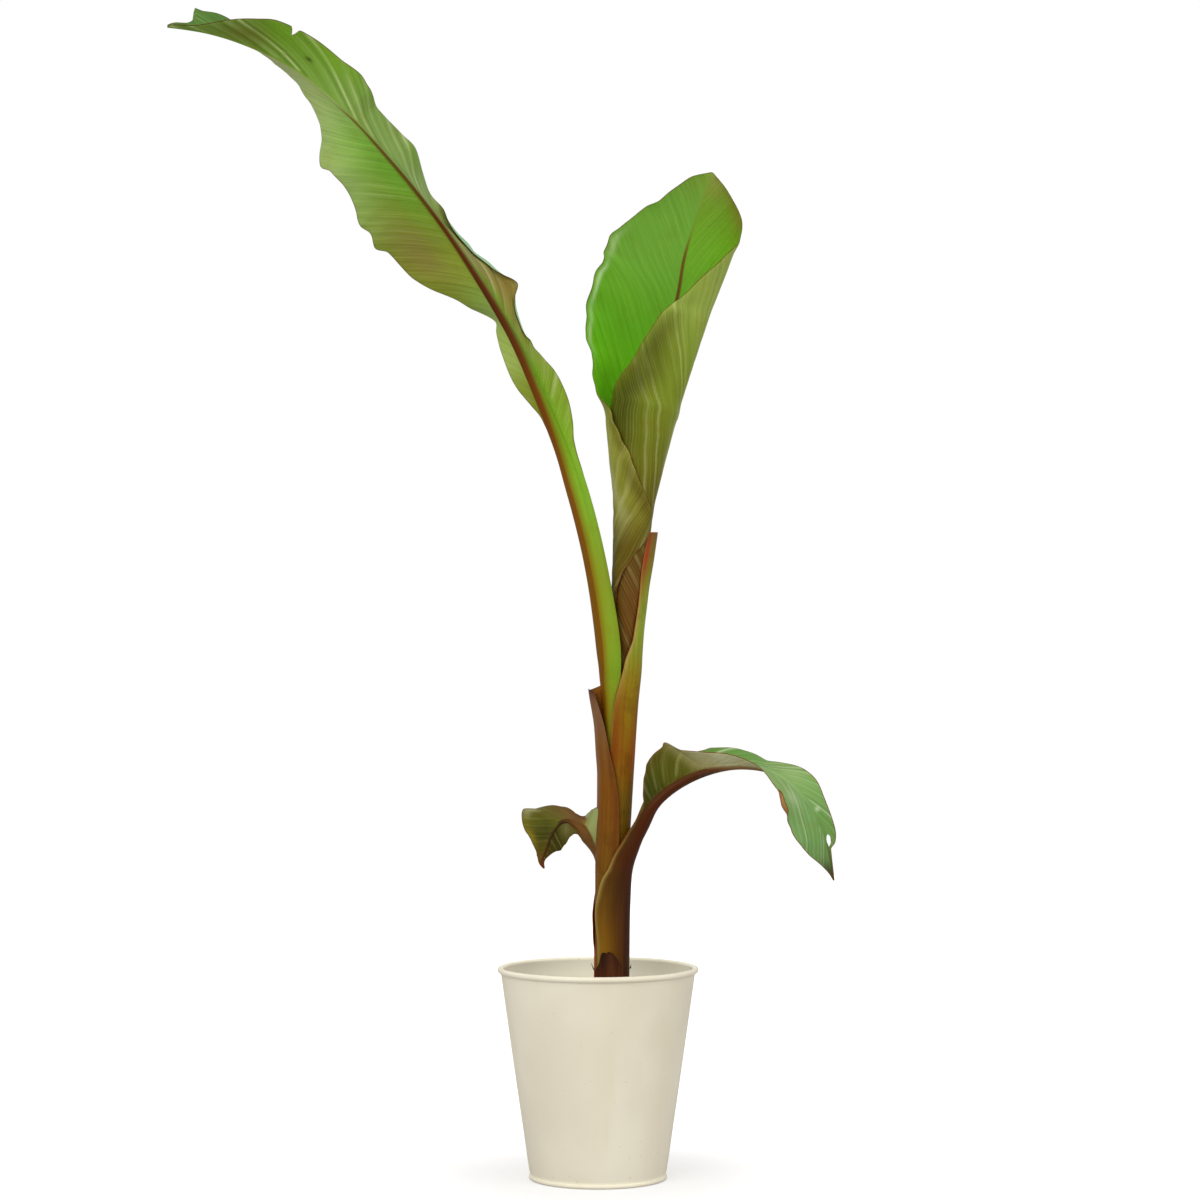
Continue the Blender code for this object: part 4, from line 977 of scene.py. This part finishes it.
ARCHING_LEAF = {
    "start": -0.62, "foot": 6, "length": 312, "blade": (-0.02, 0.06),
    "midrib": [
        (30, -5.6, 184), (30.1, -5.8, 241), (30.7, -6.2, 290), (32, -7.2, 318), (34.4, -10, 337),
        (38.4, -14.5, 354), (46, -20.5, 375), (56, -26.5, 393), (71.5, -28.5, 408.5),
        (88.5, -30, 420), (114, -32, 431), (148, -34, 436), (175, -37, 431.5), (199, -41, 417),
        (221, -44, 391), (235, -46, 364), (239, -46, 347), (244.5, -46, 316),
    ],
    "turn": {
        -0.62: -70, -0.15: -72, 0: -88, 0.4: -90, 0.5: -100, 0.55: -120, 0.6: -135, 0.66: -150,
        0.77: -164, 1: -165,
    },
    "thin": {-0.62: 1.9, -0.2: 2.4, -0.1: 4, 0: 3.6, 0.12: 1.4, 1: 0.8},
    "keel": {
        -0.62: 0.1, -0.2: 0.6, -0.08: 3, 0: 5.4, 0.25: 5.8, 0.45: 4.2, 0.6: 1.6, 0.75: 1.2, 1: 0.4,
    },
    "rib": {-0.62: 9, -0.1: 8, 0: 6.5, 0.25: 4.4, 0.45: 3, 0.6: 2.2, 1: 0.9},
    "crease": {-0.62: 1, -0.1: 3, 0: 4, 0.3: 2.5, 1: 1},
    "left": {
        "veins": {-0.62: 45, 0.3: 50, 0.55: 66, 0.8: 74, 1: 80},
        "width": {
            -0.62: 40, -0.34: 38, -0.28: 32, -0.22: 29, -0.18: 26, -0.12: 20, -0.07: 14, 0: 10,
            0.06: 12, 0.13: 20, 0.2: 28, 0.27: 32, 0.31: 34, 0.34: 39, 0.4: 41, 0.46: 37, 0.5: 34,
            0.545: 28.5, 0.576: 27.5, 0.616: 25.5, 0.66: 23.5, 0.73: 17.5, 0.8: 13.5, 0.834: 12,
            0.87: 8.5, 0.89: 3, 1: 0.8,
        },
        "fold": {-0.62: 0, -0.08: 0, 0: 50},
        "rim": {
            -0.62: 140, -0.34: 126, -0.28: 102, -0.22: 92, -0.18: 88, -0.12: 95, -0.07: 95, 0: 60,
        },
        "bend": {0.19: 60, 0.24: 47, 0.34: 30, 0.45: 16, 0.55: -5, 0.6: 2, 0.7: 15, 1: 20},
        "ripple": (6, 0.13, 0.2), "pleats": (0.4, 15, {0: 0.4, 0.55: 0.6, 1: 0.5}, 0.35),
    },
    "right": {
        "veins": {-0.62: 45, 0.2: 30, 0.4: 50, 0.55: 66, 0.8: 74, 1: 80},
        "width": {
            -0.62: 37.4, -0.46: 38, -0.34: 43, -0.28: 38.6, -0.22: 34, -0.18: 28, -0.12: 21,
            -0.07: 15, 0: 9, 0.05: 8, 0.072: 10, 0.09: 20, 0.105: 29, 0.147: 36, 0.216: 42,
            0.26: 45, 0.295: 51, 0.31: 47, 0.33: 39, 0.36: 36, 0.4: 32.5, 0.43: 27, 0.46: 19,
            0.49: 13.5, 0.525: 13.5, 0.55: 16.5, 0.575: 20, 0.6: 26, 0.63: 35, 0.66: 40, 0.69: 38,
            0.72: 35.5, 0.75: 35.5, 0.775: 36.5, 0.81: 36, 0.85: 32.5, 0.875: 28.5, 0.9: 23,
            0.925: 16, 0.95: 9.5, 0.975: 4, 1: 0.8,
        },
        "fold": {
            -0.62: 0, -0.08: 0, 0: 60, 0.072: 75, 0.2: 78, 0.3: 74, 0.33: 62, 0.36: 48, 0.4: 32,
            0.45: 26, 0.49: 16, 0.53: 0, 0.56: 2, 0.6: 12, 0.66: 18, 1: 18,
        },
        "rim": {
            -0.62: 130, -0.46: 132, -0.34: 143, -0.28: 123, -0.22: 105, -0.18: 92, -0.12: 95,
            -0.07: 100, 0: 80, 0.072: 78, 0.2: 78, 0.3: 76, 0.33: 70, 0.36: 60, 0.4: 44, 0.45: 34,
            0.49: 24, 0.53: 6, 0.56: 4, 0.6: 12, 0.66: 18, 1: 18,
        },
        "lean": {
            -0.62: 0, -0.05: 0, 0.05: -10, 0.072: -12, 0.09: 8, 0.105: 14, 0.147: 2, 0.216: -16,
            0.26: -25, 0.3: -34, 0.33: -42, 0.36: -44, 0.4: -40, 0.47: -20, 0.56: 0, 1: 0,
        },
        "ripple": (5, 0.12, 1.2), "pleats": (0.4, 15, {0: 0.4, 0.55: 0.6, 1: 0.5}, 0.35),
        "curls": [(0.655, 0.05, 0.78, 150)],
    },
    "upper": {
        "left blade": {
            -0.62: (120, 100, 50), 0: (100, 120, 44), 0.3: (96, 136, 56), 0.45: (94, 146, 60),
            0.55: (116, 154, 82), 0.66: (120, 160, 86), 0.8: (106, 148, 74), 1: (90, 114, 60),
        },
        "right blade": {
            -0.62: (120, 100, 50), 0: (100, 120, 44), 0.3: (116, 136, 70), 0.5: (126, 156, 92),
            0.65: (118, 154, 88), 0.8: (110, 152, 84), 1: (96, 122, 66),
        },
        "rib": {
            -0.62: (120, 100, 60), 0: (130, 130, 70), 0.6: (134, 166, 104), 0.8: (100, 138, 74),
            1: (50, 36, 22),
        },
        "cover": (0.5, 1), "ridge": (180, 198, 156),
    },
    "under": {
        "left blade": {
            -0.62: (60, 30, 10), -0.1: (64, 32, 10), 0.05: (72, 66, 14), 0.3: (84, 86, 30),
            0.6: (106, 124, 60), 1: (80, 90, 50),
        },
        "right blade": {
            -0.62: (84, 50, 2), -0.4: (76, 44, 2), -0.25: (54, 26, 3), -0.12: (70, 30, 5),
            0.01: (62, 42, 2), 0.08: (56, 58, 1), 0.17: (78, 80, 8), 0.25: (92, 92, 22),
            0.31: (150, 144, 92), 0.42: (196, 196, 152), 0.52: (186, 190, 140), 0.6: (120, 106, 56),
            1: (90, 70, 40),
        },
        "rib": {
            -0.62: (60, 30, 10), -0.3: (58, 26, 8), -0.1: (74, 32, 6), 0.1: (76, 34, 6),
            0.3: (80, 42, 12), 0.45: (120, 92, 56), 0.6: (110, 90, 50), 1: (50, 30, 18),
        },
        "cover": (0.7, 1.2), "ridge": (150, 152, 84),
    },
    "marks": {
        ("under", "right"): [
            (-0.5, 0.78, 0.24, 0.3, (136, 94, 10), 0.85),
            (-0.45, 0.1, 0.4, 0.28, (78, 38, 12), 0.85),
            (-0.32, 0.95, 0.28, 0.08, (170, 148, 70), 0.75),
            (0.18, 0.9, 0.12, 0.15, (80, 64, 14), 0.5),
            (0.655, 0.95, 0.06, 0.2, (160, 112, 66), 0.9),
        ],
        ("upper", "right"): [
            # The dark mark on the midrib at 0.715 is painted shade in the crease of the furrow.
            (0.97, 0.5, 0.04, 1, (50, 30, 20), 0.8), (0.715, 0, 0.014, 0.05, (30, 50, 16), 0.9),
            (0.66, 0.35, 0.04, 0.2, (170, 186, 146), 0.5),
        ],
        ("upper", "left"): [
            # The dark mark on the midrib at 0.715 is painted shade in the crease of the furrow.
            (0.97, 0.5, 0.04, 1, (50, 30, 20), 0.8), (0.715, 0, 0.014, 0.06, (30, 50, 16), 0.9),
            (0.745, 0.3, 0.008, 0.16, (214, 226, 196), 0.55),
            (0.6, 0.5, 0.05, 0.4, (150, 172, 116), 0.5),
        ],
    },
    "holes": [(0.857, -0.26, 0.02, 0.21, 0)],
}
arching_leaf = leaf_sheet("arching_leaf", ARCHING_LEAF, rows=470, columns=34)
arching_skin = leaf_finish("arching_leaf_skin", rim_colour=(112, 56, 20), rim_width=0.12,
                           gloss=(0.42, 0.56), lines=0.2, light=(190, 196, 140))
finished(arching_leaf, arching_skin, "leaf", "arching_leaf_sheath", "arching_leaf_inner",
         "arching_leaf_outer")


# The small leaf: a thin orange-red sheath at the back left, and a short blade that arches out to
# the left and hangs, its underside to the front.

SMALL_LEAF = {
    "start": -2.03, "foot": 6, "length": 90, "blade": (-0.1, 0.12),
    "midrib": [
        (4.9, 14.7, 184), (4.6, 14.9, 262), (3.8, 14.6, 300), (1.6, 13, 325), (-2.4, 10.6, 341),
        (-7.6, 7, 351.5), (-12, 4, 358.5), (-24, 0, 371), (-32.5, -3, 375), (-40, -6, 373),
        (-48, -9, 362), (-54.4, -11, 346), (-58.6, -12, 332), (-56.5, -12, 326),
    ],
    "turn": {-2.03: 150, -1: 148, -0.7: 140, -0.43: 112, -0.1: 35, 0: 15, 1: 15},
    "thin": {-2.03: 1.4, -0.5: 2, -0.1: 2.2, 0.2: 1.2, 0.4: 0.9, 1: 0.7},
    "keel": {-2.03: 0.1, -0.5: 0.6, 0: 2.2, 0.4: 1.8, 1: 0.4},
    "rib": {-2.03: 6, -0.3: 6, 0: 7, 0.2: 4.5, 0.32: 1.7, 0.5: 1.2, 1: 0.8},
    "crease": {-2.03: 1, -0.2: 2, 0.2: 2, 1: 1},
    "left": {
        "veins": {-2.03: 40, 0.3: 35, 1: 30},
        "width": {
            -2.03: 22, -1.45: 20, -1.14: 20.5, -0.9: 18, -0.71: 12, -0.49: 8, -0.25: 8, -0.18: 16,
            -0.12: 34, -0.05: 37, 0: 30, 0.06: 24, 0.12: 22, 0.2: 21, 0.3: 26, 0.34: 28, 0.37: 29,
            0.4: 31, 0.425: 37, 0.44: 40.5, 0.48: 36.5, 0.52: 31.5, 0.56: 26.5, 0.6: 21.6,
            0.64: 18.4, 0.68: 15.4, 0.72: 13, 0.76: 11, 0.8: 9, 0.85: 6, 1: 0.8,
        },
        "fold": {-2.03: 0, -0.3: 0, 0.42: 32},
        "rim": {-2.03: 75, -1.14: 76, -0.9: 58, -0.71: 42, -0.45: 80, -0.25: 60, 0.42: 36},
        "bend": {
            -0.12: 15, 0: 22, 0.06: 45, 0.12: 70, 0.17: 82, 0.3: 78, 0.36: 60, 0.5: 22, 0.6: 15,
            1: 10,
        },
        "lean": {
            -2.03: 0, -0.25: 0, -0.12: 38, -0.05: 44, 0.02: 38, 0.08: 20, 0.15: 0, 0.32: 0,
            0.36: 15, 0.4: 26, 0.44: 18, 0.48: 20, 0.56: 30, 0.64: 36, 0.72: 44, 0.8: 44, 1: 10,
        },
        "ripple": (4, 0.35, 0.5), "pleats": (0.2, 11, 0.2, 0.05),
        "curls": [(-1.14, 0.22, 0.55, -34)],
    },
    "right": {
        "veins": {-2.03: 40, 0.3: 35, 1: 30},
        "width": {
            -2.03: 13, -1.14: 13, -0.9: 12, -0.71: 10, -0.43: 7.5, -0.2: 7, 0: 7.5, 0.12: 8,
            0.2: 11, 0.3: 18, 0.36: 20.5, 0.42: 24, 0.5: 23.5, 0.58: 18.5, 0.66: 13.5, 0.75: 8.5,
            0.85: 4.5, 1: 0.8,
        },
        "fold": {-2.03: 0, 0: 0, 0.3: 8, 1: 12},
        "rim": {
            -2.03: 45, -1.14: 45, -0.71: 50, -0.43: 75, -0.1: 60, 0.05: 40, 0.2: 10, 0.3: 8, 1: 12,
        },
        "lean": {
            -2.03: 0, -0.1: 0, 0.1: -30, 0.2: -40, 0.3: -34, 0.35: -15, 0.4: 1, 0.45: 28, 0.5: 38,
            0.58: 40, 0.75: 38, 1: 10,
        },
        "ripple": (5, 0.25, 1.5), "pleats": (0.3, 7, 0.25, 0.25),
    },
    "upper": {
        "left blade": {
            -2: (176, 72, 20), -0.6: (140, 66, 24), 0: (148, 158, 100), 0.4: (132, 142, 90),
            1: (100, 90, 50),
        },
        "right blade": {
            -2: (150, 60, 16), -0.6: (130, 70, 26), 0: (148, 158, 100), 0.4: (120, 130, 76),
            1: (100, 90, 50),
        },
        "rib": {-2: (120, 90, 50), 0: (140, 130, 80), 1: (110, 90, 50)}, "cover": (0.8, 1.3),
        "ridge": (160, 172, 120),
    },
    "under": {
        "left blade": {
            -2: (168, 66, 16), -1: (150, 60, 14), -0.4: (110, 66, 20), -0.05: (150, 162, 100),
            0.06: (142, 148, 84), 0.12: (116, 86, 34), 0.3: (104, 82, 28), 0.36: (92, 84, 26),
            0.45: (80, 78, 8), 0.58: (60, 58, 1), 0.75: (80, 68, 4), 1: (96, 48, 12),
        },
        "right blade": {
            -2: (120, 48, 10), -0.4: (108, 70, 22), 0.1: (106, 80, 34), 0.3: (110, 102, 46),
            0.42: (72, 68, 6), 0.6: (56, 50, 1), 0.75: (70, 58, 4), 1: (100, 48, 14),
        },
        "rib": {
            -2: (130, 50, 16), -0.4: (112, 76, 36), 0: (112, 78, 36), 0.2: (110, 72, 30),
            0.32: (82, 54, 18), 0.4: (58, 36, 6), 0.7: (62, 34, 8), 1: (104, 46, 16),
        },
        "cover": (0.85, 1.2), "ridge": (150, 150, 80),
    },
    "marks": {
        ("under", "left"): [
            (0.17, 0.95, 0.12, 0.25, (84, 34, 12), 0.9), (0.22, 0.5, 0.08, 0.4, (116, 74, 28), 0.7),
            (0.43, 0.88, 0.03, 0.12, (160, 160, 118), 0.7),
            (0.58, 0.92, 0.1, 0.2, (124, 112, 14), 0.8), (0.5, 0.3, 0.07, 0.2, (56, 58, 1), 0.7),
        ],
        ("under", "right"): [(0.36, 0.4, 0.07, 0.4, (132, 126, 76), 0.6)],
    },
}
hanging_leaf = leaf_sheet("hanging_leaf", SMALL_LEAF, rows=330, columns=26)
hanging_skin = leaf_finish("hanging_leaf_skin", rim_colour=(92, 32, 14), rim_width=0.08,
                           gloss=(0.44, 0.6), spacing=0.6, streaks=0.3, lines=0.2)
finished(hanging_leaf, hanging_skin, "old_leaf", "small_leaf_sheath", "small_leaf_inner",
         "small_leaf_outer")


# The core of the stem, which shows only between the sheaths: smooth pale flesh under a thin skin.

core = grained("core_flesh", level=0.4, scale=(700.0, 700.0, 12.0), detail=4.0, span=(0.3, 0.7),
               dark=(120, 86, 28), pale=(152, 118, 46), gloss=(0.45, 0.6), depth=0.0002)
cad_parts["stem_core"].data.materials.clear()
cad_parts["stem_core"].data.materials.append(core.material)


# The stage: a pale floor that fades into a white surround, soft light from all round and a broad
# lamp from the front left.

shape = bmesh.new()
bmesh.ops.create_circle(shape, cap_ends=True, segments=96, radius=4.0)
floor = built("floor", shape)
floor_finish = Finish("pale_floor", Roughness=0.9, Specular_IOR_Level=0.1)
spot = floor_finish.place()
away = floor_finish.node("VectorMath", {0: spot}, result=1, operation="LENGTH")
floor_finish.colour((0.5, 0.5, 0.5))
seen = floor_finish.node("LightPath")
glow = floor_finish.span(away, 0.10, 0.40, 0.46, 0.9)
floor_finish.feed(floor_finish.shader.inputs["Emission Color"], (1.0, 1.0, 1.0))
floor_finish.feed(floor_finish.shader.inputs["Emission Strength"],
                  floor_finish.sum("MULTIPLY", seen, glow))
floor.data.materials.append(floor_finish.material)

world = bpy.data.worlds.new("studio")
bpy.context.scene.world = world
world.use_nodes = True
sky = Wiring(world.node_tree)
height = sky.node("SeparateXYZ", {"Vector": sky.node("TexCoord")}, result=2)
strength = sky.node("MapRange", {"Value": height, "From Min": -0.2, "From Max": 0.8,
                                 "To Min": 0.40, "To Max": 0.94})
dome = sky.node("Background", {"Color": (1.0, 0.985, 0.96), "Strength": strength})
backdrop = sky.node("Background", {"Color": (1.0, 1.0, 1.0), "Strength": 1.0})
shown = sky.node("MixShader", {0: sky.node("LightPath"), 1: dome, 2: backdrop})
sky.feed(sky.tree.nodes["World Output"].inputs["Surface"], shown)


def lamp(name, place, target, size, power):
    """A square soft lamp that points at a target."""
    light = bpy.data.lights.new(name, "AREA")
    light.size = size
    light.energy = power
    made = bpy.data.objects.new(name, light)
    made.location = place
    made.rotation_euler = (Vector(target) - Vector(place)).to_track_quat("-Z", "Y").to_euler()
    bpy.context.collection.objects.link(made)


lamp("key", place=(-1.3, -2.5, 2.0), target=(0, 0, 0.6), size=2.4, power=43)
lamp("fill", place=(2.0, -1.8, 1.3), target=(0, 0, 0.6), size=2.4, power=19)

# The camera stands 3.6 m in front of the pot, at half the plant's height, and looks level.
view = bpy.data.cameras.new("front")
view.lens = 102.86
view.sensor_width = 36.0
camera = bpy.data.objects.new("front", view)
camera.location = (0.0021, -3.6, 0.6069)
camera.rotation_euler = (math.radians(90), 0, 0)
bpy.context.collection.objects.link(camera)
bpy.context.scene.camera = camera
bpy.context.scene.view_settings.view_transform = "Standard"
